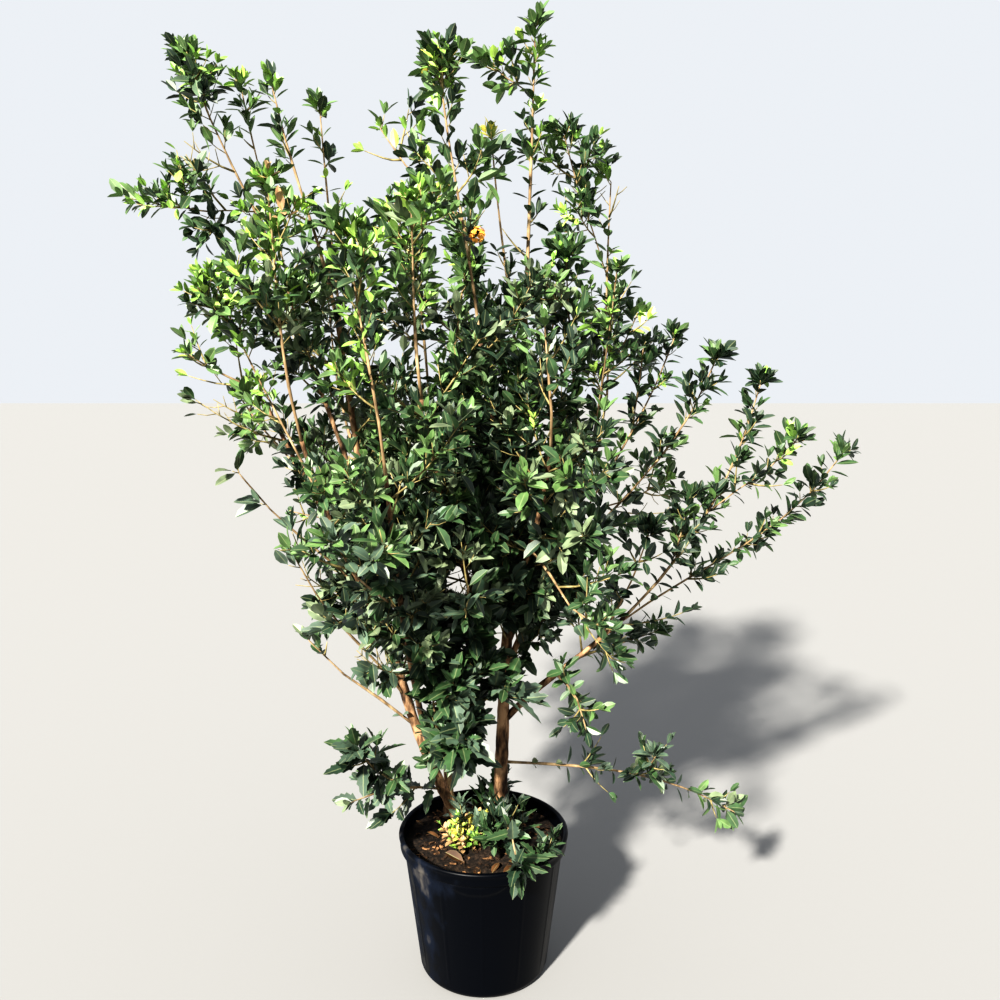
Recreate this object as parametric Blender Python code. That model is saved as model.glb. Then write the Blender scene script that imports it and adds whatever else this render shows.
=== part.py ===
"""Osmanthus shrub in a round nursery pot: pot, soil, three stems, boughs and foliage masses.

Metres, +Z up. The origin is the centre of the pot's flat underside.
"""
import math
import random

import bmesh
import bpy
import numpy as np
from mathutils import Vector

UP = Vector((0.0, 0.0, 1.0))
GAP = 0.0003  # clearance between pieces that touch

# Pot
POT_HEIGHT = 0.347
RIM_RADIUS = 0.200
BAND_RADIUS = 0.197
BAND_HEIGHT = 0.032
BODY_TOP_RADIUS = 0.188
BASE_RADIUS = 0.151
BASE_ROUNDING = 0.020
WALL = 0.003
FLOOR = 0.004
LIP_RADIUS = 0.006
POT_SIDES = 32

# Soil
SOIL_TOP = 0.326
SOIL_EDGE_TOP = 0.321
SOIL_FLAT_RADIUS = 0.135

# Limbs
LIMB_SIDES = 6
LIMB_STEP = 0.11
HANDLE = 0.36  # how far a curve follows its end directions, as a share of its chord
STEM_LIFT = 0.6
FLARE = 0.45
FLARE_HEIGHT = 0.035
FLARE_RING = 0.35
BOUGH_SHARE = 0.62
BOUGH_RADII = (0.0110, 0.0042)
SIDE_FOLLOW = 0.15
SHOOT_RADIUS = 0.0046  # the most that a shoot has where it leaves a side
SHOOT_TIP_RADIUS = 0.0018
SHOOT_SIDES = 3
SHOOT_STEP = 0.10
FORK_LIFT = 0.5
SHOOT_END = 0.97  # share of a shoot's length where its last twigs and leaves sit
TIP_LEAVES = 0.06  # how far the last leaves reach past a shoot's end

# Name: foot x and y, lean at the foot in x and y per height, tip, radius at the foot and at the tip
STEMS = {
    "main_stem": ((0.040, 0.040), (0.00, 0.00), (0.093, 0.000, 1.51), 0.0165, 0.0060),
    "left_stem": ((-0.045, 0.030), (-0.52, -0.06), (-0.295, -0.080, 1.52), 0.0135, 0.0050),
    "back_stem": ((-0.085, 0.090), (-0.03, 0.12), (-0.130, 0.250, 1.26), 0.0110, 0.0048),
}

# Name: parent, share of the parent's length where it leaves, tip, how far the tip turns up
BOUGHS = {
    "centre_left_bough": ("main_stem", 0.65, (0.000, -0.150, 1.49), 0.6),
    "middle_bough": ("main_stem", 0.33, (-0.110, -0.280, 1.39), 0.8),
    "right_bough": ("main_stem", 0.29, (0.320, -0.050, 0.89), 0.1),
    "right_rear_bough": ("main_stem", 0.39, (0.243, 0.120, 1.16), 0.9),
    "front_right_bough": ("main_stem", 0.49, (0.136, -0.280, 1.29), 0.9),
    "back_right_bough": ("main_stem", 0.44, (0.300, 0.420, 1.22), 0.5),
    "far_left_bough": ("left_stem", 0.50, (-0.475, 0.020, 1.35), 0.1),
    "left_front_bough": ("left_stem", 0.42, (-0.340, -0.280, 1.31), 0.4),
    "upper_left_bough": ("left_stem", 0.70, (-0.422, 0.080, 1.57), 0.3),
    "front_bough": ("left_stem", 0.22, (-0.168, -0.380, 1.25), 0.8),
    "back_left_bough": ("back_stem", 0.45, (-0.360, 0.420, 1.25), 0.4),
    "back_bough": ("back_stem", 0.62, (0.020, 0.500, 1.22), 0.5),
}

# Name: parent, share of its length, tip with its leaves, how far the tip turns up, twig length, forks.
# A fork is a second leader: share of the shoot's length where it leaves, and its tip.
MASSES = {
    "top_left_mass": ("upper_left_bough", 1.0, (-0.610, 0.000, 2.11), 0.5, 0.12,
                      [(0.40, (-0.660, -0.100, 1.80))]),
    "left_crown_mass": ("left_stem", 1.0, (-0.413, -0.100, 2.02), 0.4, 0.08, []),
    "left_inner_crown_mass": ("left_stem", 0.92, (-0.344, 0.060, 2.00), 0.4, 0.08, []),
    "left_rear_crown_mass": ("upper_left_bough", 0.72, (-0.535, 0.140, 2.08), 0.3, 0.11, []),
    "left_front_crown_mass": ("left_front_bough", 1.0, (-0.400, -0.220, 1.84), 0.6, 0.13, []),
    "left_edge_mass": ("left_front_bough", 0.75, (-0.535, -0.170, 1.66), 0.3, 0.14, []),
    "far_left_mass": ("far_left_bough", 1.0, (-0.640, -0.060, 1.49), 0.2, 0.10, []),
    "far_left_rear_mass": ("far_left_bough", 0.70, (-0.580, 0.140, 1.39), 0.3, 0.10, []),
    "left_low_mass": ("left_front_bough", 0.38, (-0.476, -0.300, 1.28), 0.3, 0.09, []),
    "left_rear_low_mass": ("back_left_bough", 0.60, (-0.520, 0.260, 1.08), 0.3, 0.10, []),
    "left_flank_mass": ("left_stem", 0.36, (-0.385, -0.230, 1.10), 0.5, 0.10, []),
    "left_foot_mass": ("left_stem", 0.30, (-0.400, -0.080, 0.87), 0.4, 0.08, []),
    "left_base_mass": ("left_stem", 0.17, (-0.310, -0.200, 0.50), -0.3, 0.10,
                       [(0.45, (-0.271, -0.220, 0.68))]),
    "top_rear_mass": ("back_stem", 1.0, (-0.180, 0.330, 1.88), 0.5, 0.13, []),
    "top_centre_left_mass": ("centre_left_bough", 1.0, (-0.084, -0.100, 2.06), 0.4, 0.10,
                             [(0.45, (-0.225, 0.020, 1.96))]),
    "top_centre_mass": ("main_stem", 0.88, (0.018, 0.110, 1.95), 0.4, 0.08, []),
    "top_mass": ("main_stem", 1.0, (0.111, 0.000, 2.15), 0.4, 0.08, [(0.80, (0.004, 0.050, 2.09))]),
    "top_right_mass": ("right_rear_bough", 1.0, (0.281, 0.080, 1.86), 0.4, 0.09,
                       [(0.72, (0.169, 0.050, 1.95))]),
    "right_inner_crown_mass": ("right_rear_bough", 0.88, (0.172, -0.070, 1.71), 0.5, 0.13, []),
    "right_crown_mass": ("right_rear_bough", 0.94, (0.282, -0.080, 1.68), 0.4, 0.11,
                         [(0.55, (0.345, 0.000, 1.59))]),
    "centre_right_mass": ("main_stem", 0.78, (0.179, 0.170, 1.62), 0.4, 0.12, []),
    "right_rear_mass": ("right_rear_bough", 0.60, (0.443, 0.100, 1.53), 0.5, 0.10,
                        [(0.60, (0.360, 0.060, 1.52))]),
    "right_mid_mass": ("right_rear_bough", 0.42, (0.508, -0.040, 1.49), 1.0, 0.10, []),
    "right_mass": ("right_bough", 1.0, (0.613, 0.000, 1.44), 1.3, 0.10,
                   [(0.50, (0.690, -0.070, 1.32)), (0.25, (0.450, -0.080, 1.20))]),
    "far_right_mass": ("right_bough", 0.88, (0.850, 0.110, 1.26), 0.6, 0.09, []),
    "right_front_mass": ("right_bough", 0.80, (0.350, -0.200, 1.15), 0.5, 0.11, []),
    "right_low_mass": ("right_bough", 0.60, (0.440, 0.130, 0.80), 0.0, 0.10, []),
    "right_hanging_mass": ("right_bough", 0.45, (0.225, -0.240, 0.66), -0.9, 0.10, []),
    "right_base_mass": ("main_stem", 0.21, (0.640, 0.070, 0.33), -0.4, 0.09,
                        [(0.55, (0.400, -0.060, 0.58))]),
    "front_crown_mass": ("middle_bough", 1.0, (-0.126, -0.260, 1.80), 0.5, 0.14, []),
    "front_left_crown_mass": ("front_bough", 1.0, (-0.238, -0.330, 1.74), 0.5, 0.14, []),
    "rear_crown_mass": ("back_stem", 0.86, (-0.032, 0.300, 1.78), 0.5, 0.13, []),
    "front_right_mass": ("front_right_bough", 1.0, (0.120, -0.300, 1.58), 0.4, 0.14, []),
    "front_low_mass": ("middle_bough", 0.45, (-0.020, -0.390, 1.08), 0.6, 0.14, []),
    "base_mass": ("left_stem", 0.07, (-0.110, -0.240, 0.88), 0.6, 0.16,
                  [(0.35, (0.000, -0.210, 0.86))]),
    "rim_mass": ("main_stem", 0.06, (0.080, -0.250, 0.360), -0.9, 0.08, []),
    "back_left_mass": ("back_left_bough", 1.0, (-0.420, 0.500, 1.70), 0.5, 0.15, []),
    "back_mass": ("back_bough", 1.0, (-0.020, 0.590, 1.62), 0.5, 0.15, []),
    "back_right_mass": ("back_right_bough", 1.0, (0.330, 0.500, 1.62), 0.5, 0.15, []),
    "back_right_low_mass": ("back_right_bough", 0.60, (0.510, 0.400, 1.16), 0.5, 0.15, []),
    "back_low_mass": ("back_stem", 0.30, (-0.160, 0.480, 0.86), 0.4, 0.14, []),
    "front_bulge_mass": ("front_bough", 0.62, (-0.240, -0.590, 1.22), 0.5, 0.15, []),
    "front_right_low_mass": ("front_right_bough", 0.50, (0.230, -0.500, 1.02), 0.5, 0.14, []),
}

# Growth rule
SEED = 41
FIRST_NODE = 0.16
NODE_STEP = 0.170
TWIG_ANGLE = math.radians(52)
TWIG_LIFT = 0.45
TWIG_TAPER = 0.75  # how much shorter the last twigs of a shoot are than the first
TWIG_BEND = 0.4
TWIG_SIZES = (0.80, 1.15)
TWIG_CUTS = (1.0, 0.7, 0.4)
TWIG_RADIUS = 0.0026
TWIG_END_RADIUS = 0.0018
SWING_JITTER = 0.3
NODE_JITTER = 0.2
SPACE_MARGIN = 0.006
LIMB_MARGIN = 0.006
LEAST_LEFT = 0.6  # share of its volume that a piece keeps in any union or cut
WELD = 0.0000002
ATTEMPTS = 6

# Leaves, each larger than life and standing for a spray
LEAF_LENGTH = 0.100
LEAF_WIDTH = 0.044
FULL_SPREAD = 0.12  # twig length from which a mass has leaves of full size
LEAF_KEEL = 0.003
LEAF_WIDEST = 0.45
LEAF_ROOT = 0.002  # how far behind the twig's centre line a leaf starts
LEAF_TILT = 0.8
END_LEAF_SIZES = (0.85, 1.00)
SIDE_LEAF_SIZES = (0.75, 0.95)
SIDE_LEAF_SPOTS = (0.45, 0.70)
SIDE_LEAF_ANGLE = math.radians(48)
TIP_LEAF_SIZE = 0.80
TIP_LEAF_LEAN = 0.45

# Linear base colour, roughness
COLOURS = {
    "pot": ((0.012, 0.013, 0.016), 0.5),
    "soil": ((0.035, 0.022, 0.014), 0.95),
    "bark": ((0.140, 0.085, 0.048), 0.85),
    "foliage": ((0.040, 0.095, 0.030), 0.45),
}


class Axis:
    """The centre line of a limb: points, unit directions and radii."""

    def __init__(self, points, ways, radii):
        self.points = points
        self.ways = ways
        self.radii = radii

    def spot(self, share):
        """Point, direction and radius at a share of the axis."""
        place = min(max(share, 0.0), 1.0) * (len(self.points) - 1)
        low = min(int(place), len(self.points) - 2)
        part = place - low
        point = self.points[low].lerp(self.points[low + 1], part)
        way = self.ways[low].lerp(self.ways[low + 1], part).normalized()
        radius = self.radii[low] + (self.radii[low + 1] - self.radii[low]) * part
        return point, way, radius

    def length(self):
        return sum((b - a).length for a, b in zip(self.points, self.points[1:]))


def curve(start, leave, arrive, tip, steps):
    """Points and directions of a cubic curve between two places with given directions."""
    reach = (tip - start).length * HANDLE
    handles = [start, start + leave * reach, tip - arrive * reach, tip]
    points = []
    ways = []
    for k in range(steps + 1):
        t = k / steps
        s = 1.0 - t
        weights = (s**3, 3 * s * s * t, 3 * s * t * t, t**3)
        slopes = (s * s, 2 * s * t, t * t)
        points.append(sum((h * w for h, w in zip(handles, weights)), Vector()))
        spans = [b - a for a, b in zip(handles, handles[1:])]
        ways.append(sum((d * w for d, w in zip(spans, slopes)), Vector()).normalized())
    return points, ways


def grow_axis(start, way, follow, tip, lift, radii, step):
    """An axis from start to tip that first follows a direction and at last turns up."""
    chord = (tip - start).normalized()
    leave = (chord * (1.0 - follow) + way * follow).normalized()
    arrive = (chord + UP * lift).normalized()
    steps = max(3, round((tip - start).length / step))
    points, ways = curve(start, leave, arrive, tip, steps)
    widths = [radii[0] + (radii[1] - radii[0]) * k / steps for k in range(steps + 1)]
    return Axis(points, ways, widths)


def stem_axis(foot, lean, tip, foot_radius, tip_radius):
    """A stem with a flare at its foot, cut level where it stands on the soil."""
    start = Vector((foot[0], foot[1], SOIL_TOP + GAP))
    way = Vector((lean[0], lean[1], 1.0)).normalized()
    radii = (foot_radius, tip_radius)
    axis = grow_axis(start, way, 1.0, Vector(tip), STEM_LIFT, radii, LIMB_STEP)
    axis.points.insert(1, start.lerp(axis.points[1], FLARE_RING))
    axis.ways.insert(1, way)
    axis.ways[0] = UP.copy()
    axis.radii.insert(1, axis.radii[0])
    heights = [p.z - start.z for p in axis.points]
    axis.radii = [r * (1.0 + FLARE * math.exp(-h / FLARE_HEIGHT)) for r, h in zip(axis.radii, heights)]
    return axis


def side_axis(parent, share, tip, lift, radii, step):
    """A limb that goes on from its parent's tip, or leaves its parent's side from the centre line.

    The radii are the most at its start, and the one at its tip.
    """
    point, way, radius = parent.spot(share)
    if share >= 1.0:
        return grow_axis(point + way * GAP, way, 1.0, tip, lift, (radius, radii[1]), step)
    widths = (min(radius * BOUGH_SHARE, radii[0]), radii[1])
    return grow_axis(point, way, SIDE_FOLLOW, tip, lift, widths, step)


def leaf_scale(spread):
    """Size of a mass's leaves: slender shoots carry smaller ones."""
    return min(1.0, spread / FULL_SPREAD)


def shoot_axis(parent, share, leaf_tip, lift, scale):
    """A foliage shoot, which ends where its last leaves reach a given place."""
    start, _, _ = parent.spot(share)
    chord = (Vector(leaf_tip) - start).normalized()
    tip = Vector(leaf_tip) - (chord + UP * lift).normalized() * (TIP_LEAVES * scale)
    return side_axis(parent, share, tip, lift, (SHOOT_RADIUS, SHOOT_TIP_RADIUS), SHOOT_STEP)


def plan_limbs():
    """Axes of the stems and boughs by name."""
    limbs = {name: stem_axis(*row) for name, row in STEMS.items()}
    for name, (parent, share, tip, lift) in BOUGHS.items():
        limbs[name] = side_axis(limbs[parent], share, Vector(tip), lift, BOUGH_RADII, LIMB_STEP)
    return limbs


def plan_shoots(limbs):
    """For each mass the axes of its stem and forks, the stem first."""
    shoots = {}
    for name, (parent, share, tip, lift, spread, forks) in MASSES.items():
        scale = leaf_scale(spread)
        stem = shoot_axis(limbs[parent], share, tip, lift, scale)
        shoots[name] = [stem]
        for fork_share, fork_tip in forks:
            shoots[name].append(shoot_axis(stem, fork_share, fork_tip, FORK_LIFT, scale))
    return shoots


def segments(axes):
    """Start points, end points and larger radii of all straight stretches of some axes."""
    starts = []
    ends = []
    radii = []
    for axis in axes:
        for k in range(len(axis.points) - 1):
            starts.append(axis.points[k])
            ends.append(axis.points[k + 1])
            radii.append(max(axis.radii[k], axis.radii[k + 1]))
    return np.array(starts), np.array(ends), np.array(radii)


def clearance(points, lines, use_radii):
    """Smallest distance of each point to some stretches, less their radii if asked."""
    starts, ends, radii = lines
    spans = ends - starts
    offsets = points[:, None, :] - starts[None, :, :]
    shares = (offsets * spans).sum(2) / (spans * spans).sum(1)
    nearest = offsets - np.clip(shares, 0.0, 1.0)[:, :, None] * spans
    distances = np.sqrt((nearest * nearest).sum(2))
    if use_radii:
        distances = distances - radii
    return distances.min(1)


class Space:
    """The room of one mass: nearer to its own shoots than to others, and clear of the limbs."""

    def __init__(self, own, others, limbs):
        self.own = segments(own)
        self.others = segments(others)
        self.limbs = segments(limbs)

    def holds(self, points):
        spots = np.array(points)
        own = clearance(spots, self.own, False)
        others = clearance(spots, self.others, False)
        limbs = clearance(spots, self.limbs, True)
        return bool((own + SPACE_MARGIN < others).all() and (limbs > LIMB_MARGIN).all())


def across(way):
    """A unit vector at right angles to a direction."""
    helper = UP if abs(way.z) < 0.9 else Vector((1.0, 0.0, 0.0))
    return way.cross(helper).normalized()


def swing_out(way, swing):
    """A unit vector at right angles to a direction, turned round it."""
    side = across(way)
    return side * math.cos(swing) + way.cross(side) * math.sin(swing)


def make_twig(start, way, out, length):
    """A twig that leaves a shoot at an angle and turns up."""
    leave = way * math.cos(TWIG_ANGLE) + out * math.sin(TWIG_ANGLE)
    arrive = (leave + UP * TWIG_LIFT).normalized()
    tip = start + leave.lerp(arrive, TWIG_BEND) * length
    return Axis([start, tip], [leave, arrive], [TWIG_RADIUS, TWIG_END_RADIUS])


def reach(twig, scale):
    """Points that a twig and the leaf at its end reach."""
    tip, way, _ = twig.spot(1.0)
    middle = tip + way * (LEAF_LENGTH * LEAF_WIDEST * scale)
    sides = [middle + swing_out(way, k * math.pi / 2) * (LEAF_WIDTH / 2 * scale) for k in range(4)]
    return [twig.spot(0.5)[0], tip, tip + way * (LEAF_LENGTH * scale), *sides]


def grow_twigs(axis, spread, space, chance):
    """The growth rule: opposite pairs of twigs, each pair turned a quarter from the last.

    A twig that would leave its mass's space is shortened, and left out if that isn't enough.
    """
    nodes = max(2, round(axis.length() * (1.0 - FIRST_NODE) / NODE_STEP))
    turn = chance.uniform(0.0, math.pi)
    twigs = []
    for k in range(nodes):
        share = FIRST_NODE + (1.0 - FIRST_NODE) * (k + 0.5) / nodes
        for side in range(2):
            swing = turn + side * math.pi + chance.uniform(-SWING_JITTER, SWING_JITTER)
            length = spread * (1.0 - TWIG_TAPER * share) * chance.uniform(*TWIG_SIZES)
            place = share + chance.uniform(-NODE_JITTER, NODE_JITTER) / nodes
            start, way, _ = axis.spot(min(place, SHOOT_END))
            for cut in TWIG_CUTS:
                twig = make_twig(start, way, swing_out(way, swing), length * cut)
                if space.holds(reach(twig, leaf_scale(spread))):
                    twigs.append(twig)
                    break
        turn += math.pi / 2
    return twigs


def sweep(axis, sides, extra=0.0):
    """Vertices and faces of a closed tube with a polygon section along an axis."""
    side = across(axis.ways[0])
    verts = []
    for point, way, radius in zip(axis.points, axis.ways, axis.radii):
        side = (side - way * side.dot(way)).normalized()
        up = way.cross(side)
        for n in range(sides):
            angle = 2 * math.pi * n / sides
            verts.append(point + (side * math.cos(angle) + up * math.sin(angle)) * (radius + extra))
    faces = [tuple(range(sides - 1, -1, -1))]
    faces += ring_faces(len(axis.points) - 1, sides)
    faces.append(tuple(range(len(verts) - sides, len(verts))))
    return verts, faces


def ring_faces(rows, sides):
    """Faces between rings of vertices that follow each other."""
    faces = []
    for low in range(0, rows * sides, sides):
        for n in range(sides):
            after = (n + 1) % sides
            faces.append((low + n, low + after, low + after + sides, low + n + sides))
    return faces


def blade_ring(point, way, face, length):
    """The three corners of a leaf at its widest: two sides and the keel below."""
    side = way.cross(face).normalized()
    below = way.cross(side).normalized() * LEAF_KEEL
    half_width = side * (LEAF_WIDTH / 2 * length / LEAF_LENGTH)
    return [point + half_width, point + below, point - half_width]


def leaf_shape(spot, way, face, length):
    """Vertices and faces of one leaf, its root sunk into the wood at a spot."""
    root = spot - way * LEAF_ROOT
    middle = root + way * (length * LEAF_WIDEST)
    verts = [root, *blade_ring(middle, way, face, length), root + way * length]
    faces = [(0, 1 + n, 1 + (n + 1) % 3) for n in range(3)]
    faces += [(4, 1 + (n + 1) % 3, 1 + n) for n in range(3)]
    return verts, faces


def twig_shape(twig, face, length):
    """Vertices and faces of a three-sided twig that ends in a leaf."""
    verts = []
    tip, way, _ = twig.spot(1.0)
    for point, radius in zip(twig.points, twig.radii):
        side = way.cross(face).normalized() * radius
        below = way.cross(side).normalized() * radius
        verts += [point + side, point + below, point - side]
    verts += blade_ring(tip + way * (length * LEAF_WIDEST), way, face, length)
    verts.append(tip + way * length)
    faces = [(0, 1, 2)] + ring_faces(2, 3)
    faces += [(9, 6 + (n + 1) % 3, 6 + n) for n in range(3)]
    return verts, faces


def hang_leaves(twig, scale, chance):
    """The twig with the leaf at its end, and a leaf on its side, as shapes."""
    _, way, _ = twig.spot(1.0)
    face = (across(way) * chance.uniform(-LEAF_TILT, LEAF_TILT) + UP).normalized()
    shapes = [twig_shape(twig, face, LEAF_LENGTH * scale * chance.uniform(*END_LEAF_SIZES))]
    spot, way, _ = twig.spot(chance.uniform(*SIDE_LEAF_SPOTS))
    out = swing_out(way, chance.uniform(0.0, 2 * math.pi))
    side = way * math.cos(SIDE_LEAF_ANGLE) + out * math.sin(SIDE_LEAF_ANGLE)
    length = LEAF_LENGTH * scale * chance.uniform(*SIDE_LEAF_SIZES)
    shapes.append(leaf_shape(spot, side, way + UP * TWIG_LIFT, length))
    return shapes


def hang_tip_leaves(axis, scale, chance):
    """Two upright leaves at the end of a shoot."""
    shapes = []
    spot, way, _ = axis.spot(SHOOT_END)
    turn = chance.uniform(0.0, math.pi)
    for k in range(2):
        out = swing_out(way, turn + k * math.pi)
        lean = (way + out * TIP_LEAF_LEAN).normalized()
        face = way - out * TIP_LEAF_LEAN
        shapes.append(leaf_shape(spot, lean, face, LEAF_LENGTH * scale * TIP_LEAF_SIZE))
    return shapes


def make_object(name, verts, faces, material):
    """A mesh object from vertices and faces, with its faces turned out."""
    mesh = bpy.data.meshes.new(name)
    mesh.from_pydata([tuple(v) for v in verts], [], faces)
    shape = bmesh.new()
    shape.from_mesh(mesh)
    bmesh.ops.recalc_face_normals(shape, faces=shape.faces)
    shape.to_mesh(mesh)
    shape.free()
    mesh.materials.append(material)
    made = bpy.data.objects.new(name, mesh)
    bpy.context.scene.collection.objects.link(made)
    return made


def make_material(name):
    colour, roughness = COLOURS[name]
    material = bpy.data.materials.new(name)
    material.use_nodes = True
    shader = material.node_tree.nodes["Principled BSDF"]
    shader.inputs["Base Color"].default_value = (*colour, 1.0)
    shader.inputs["Roughness"].default_value = roughness
    shader.inputs["Metallic"].default_value = 0.0
    return material


def weld(mesh):
    """Cuts a mesh into triangles and joins points that all but meet."""
    shape = bmesh.new()
    shape.from_mesh(mesh)
    bmesh.ops.triangulate(shape, faces=shape.faces)
    bmesh.ops.remove_doubles(shape, verts=shape.verts, dist=WELD)
    shape.to_mesh(mesh)
    shape.free()


def closed_volume(mesh):
    """Volume that a mesh encloses, or nothing if the mesh is open or touches itself."""
    shape = bmesh.new()
    shape.from_mesh(mesh)
    closed = all(len(edge.link_faces) == 2 for edge in shape.edges)
    volume = shape.calc_volume(signed=True) if closed else 0.0
    shape.free()
    return volume


def apply_boolean(target, boolean):
    """Applies the target's Boolean by the first solver that closes it; false if none does."""
    least = closed_volume(target.data) * LEAST_LEFT
    for solver in ("EXACT", "MANIFOLD"):
        boolean.solver = solver
        view = bpy.context.evaluated_depsgraph_get()
        result = bpy.data.meshes.new_from_object(target.evaluated_get(view))
        weld(result)
        closed = closed_volume(result) > least
        if closed:
            break
    target.modifiers.clear()
    target.data = result
    return closed


def fuse(body, pieces):
    """Joins loose pieces to a body in one union and removes them; true if the body is closed."""
    group = bpy.data.collections.new("pieces")
    bpy.context.scene.collection.children.link(group)
    for piece in pieces:
        bpy.context.scene.collection.objects.unlink(piece)
        group.objects.link(piece)
    union = body.modifiers.new("union", "BOOLEAN")
    union.operation = "UNION"
    union.operand_type = "COLLECTION"
    union.collection = group
    closed = apply_boolean(body, union)
    for piece in pieces:
        bpy.data.objects.remove(piece)
    bpy.data.collections.remove(group)
    return closed


def cut_by_parent(body, parent, sides):
    """Cuts a limb's foot to the surface of its parent, with the gap; true if the limb is closed."""
    verts, faces = sweep(parent, sides, GAP)
    cutter = make_object("cutter", verts, faces, body.data.materials[0])
    cut = body.modifiers.new("cut", "BOOLEAN")
    cut.operation = "DIFFERENCE"
    cut.object = cutter
    closed = apply_boolean(body, cut)
    bpy.data.objects.remove(cutter)
    return closed


def island_volume(faces):
    """Signed volume that some faces close."""
    total = 0.0
    for face in faces:
        first = face.verts[0].co
        for k in range(1, len(face.verts) - 1):
            total += first.dot(face.verts[k].co.cross(face.verts[k + 1].co)) / 6.0
    return total


def keep_main_body(target):
    """Keeps the largest closed body, which fills sealed hollows and drops loose scraps."""
    shape = bmesh.new()
    shape.from_mesh(target.data)
    left = set(shape.faces)
    islands = []
    while left:
        island = {left.pop()}
        edge_of = list(island)
        while edge_of:
            face = edge_of.pop()
            for edge in face.edges:
                for other in edge.link_faces:
                    if other in left:
                        left.remove(other)
                        island.add(other)
                        edge_of.append(other)
        islands.append(island)
    islands.sort(key=island_volume)
    spare = [face for island in islands[:-1] for face in island]
    bmesh.ops.delete(shape, geom=spare, context="FACES")
    shape.to_mesh(target.data)
    shape.free()


def shade_round(target, angle):
    """Smooth shading with edges kept sharp past an angle in degrees."""
    target.data.shade_smooth()
    target.data.set_sharp_from_angle(angle=math.radians(angle))


def lathe(name, profile, sides, material):
    """A turned solid from (radius, height) points that start and end on the axis."""
    verts = [(0.0, 0.0, profile[0][1])]
    for radius, height in profile[1:-1]:
        for n in range(sides):
            angle = 2 * math.pi * n / sides
            verts.append((radius * math.cos(angle), radius * math.sin(angle), height))
    verts.append((0.0, 0.0, profile[-1][1]))
    rings = len(profile) - 2
    faces = []
    for n in range(sides):
        after = (n + 1) % sides
        faces.append((0, 1 + after, 1 + n))
        for k in range(rings - 1):
            low = 1 + k * sides
            faces.append((low + n, low + after, low + sides + after, low + sides + n))
        top = 1 + (rings - 1) * sides
        faces.append((top + n, top + after, len(verts) - 1))
    return make_object(name, verts, faces, material)


def outer_radius(height):
    """Radius of the pot's outer wall below the rim band."""
    top = POT_HEIGHT - BAND_HEIGHT
    return BASE_RADIUS + (BODY_TOP_RADIUS - BASE_RADIUS) * height / top


def round_corner(centre_radius, centre_height, radius, first, last, steps):
    """Points of an arc in the turned profile, angles in degrees from the outward direction."""
    points = []
    for k in range(steps + 1):
        angle = math.radians(first + (last - first) * k / steps)
        points.append((centre_radius + radius * math.cos(angle), centre_height + radius * math.sin(angle)))
    return points


def cavity(inset):
    """Profile of the pot's inner wall from the floor's centre up to the lip, moved in by an inset."""
    floor = FLOOR + inset
    rounding = BASE_ROUNDING - WALL
    corner = outer_radius(BASE_ROUNDING) - WALL - inset
    points = [(0.0, floor)]
    points += round_corner(corner - rounding, floor + rounding, rounding, -90, 0, 2)
    return points


def build_pot(material):
    corner = outer_radius(BASE_ROUNDING) - BASE_ROUNDING
    band_low = POT_HEIGHT - BAND_HEIGHT
    profile = [(0.0, 0.0)]
    profile += round_corner(corner, BASE_ROUNDING, BASE_ROUNDING, -90, 0, 3)
    profile += [(BODY_TOP_RADIUS, band_low), (BAND_RADIUS, band_low)]
    profile += round_corner(RIM_RADIUS - LIP_RADIUS, POT_HEIGHT - LIP_RADIUS, LIP_RADIUS, 0, 180, 4)
    profile += [(BODY_TOP_RADIUS - WALL, band_low)]
    profile += cavity(0.0)[::-1]
    pot = lathe("pot", profile, POT_SIDES, material)
    shade_round(pot, 40)


def build_soil(material):
    wall_radius = outer_radius(SOIL_EDGE_TOP) - WALL - GAP * 2
    profile = cavity(GAP)
    profile += [(wall_radius, SOIL_EDGE_TOP), (SOIL_FLAT_RADIUS, SOIL_TOP), (0.0, SOIL_TOP)]
    soil = lathe("soil", profile, POT_SIDES, material)
    shade_round(soil, 40)


def build_limbs(limbs, material):
    for name, axis in limbs.items():
        verts, faces = sweep(axis, LIMB_SIDES)
        limb = make_object(name, verts, faces, material)
        if name in BOUGHS:
            cut_by_parent(limb, limbs[BOUGHS[name][0]], LIMB_SIDES)
        keep_main_body(limb)
        shade_round(limb, 60)


def plan_space(name, limbs, shoots):
    """The room of one mass."""
    others = [axis for other, axes in shoots.items() if other != name for axis in axes]
    return Space(shoots[name], others, limbs.values())


def mass_shapes(name, axes, space, attempt):
    """The shapes of a mass beside its stem: forks, and the twigs and leaves that keep to its space."""
    spread = MASSES[name][4]
    scale = leaf_scale(spread)
    twig_chance = random.Random(f"{SEED} {name} twigs")
    leaf_chance = random.Random(f"{SEED} {name} leaves {attempt}")
    shapes = [sweep(fork, SHOOT_SIDES) for fork in axes[1:]]
    for axis in axes:
        for twig in grow_twigs(axis, spread, space, twig_chance):
            twig_and_leaf, side_leaf = hang_leaves(twig, scale, leaf_chance)
            shapes.append(twig_and_leaf)
            if space.holds(side_leaf[0]):
                shapes.append(side_leaf)
        shapes += [leaf for leaf in hang_tip_leaves(axis, scale, leaf_chance) if space.holds(leaf[0])]
    return shapes


def build_mass(name, axes, space, parent, material):
    """One foliage mass, with its leaves hung anew as long as they don't fuse into a closed body."""
    for attempt in range(ATTEMPTS):
        shapes = mass_shapes(name, axes, space, attempt)
        mass = make_object(name, *sweep(axes[0], SHOOT_SIDES), material)
        closed = fuse(mass, [make_object("piece", *shape, material) for shape in shapes])
        if closed and MASSES[name][1] < 1.0:
            closed = cut_by_parent(mass, parent, LIMB_SIDES)
        if closed:
            keep_main_body(mass)
            break
        bpy.data.objects.remove(mass)


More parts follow.
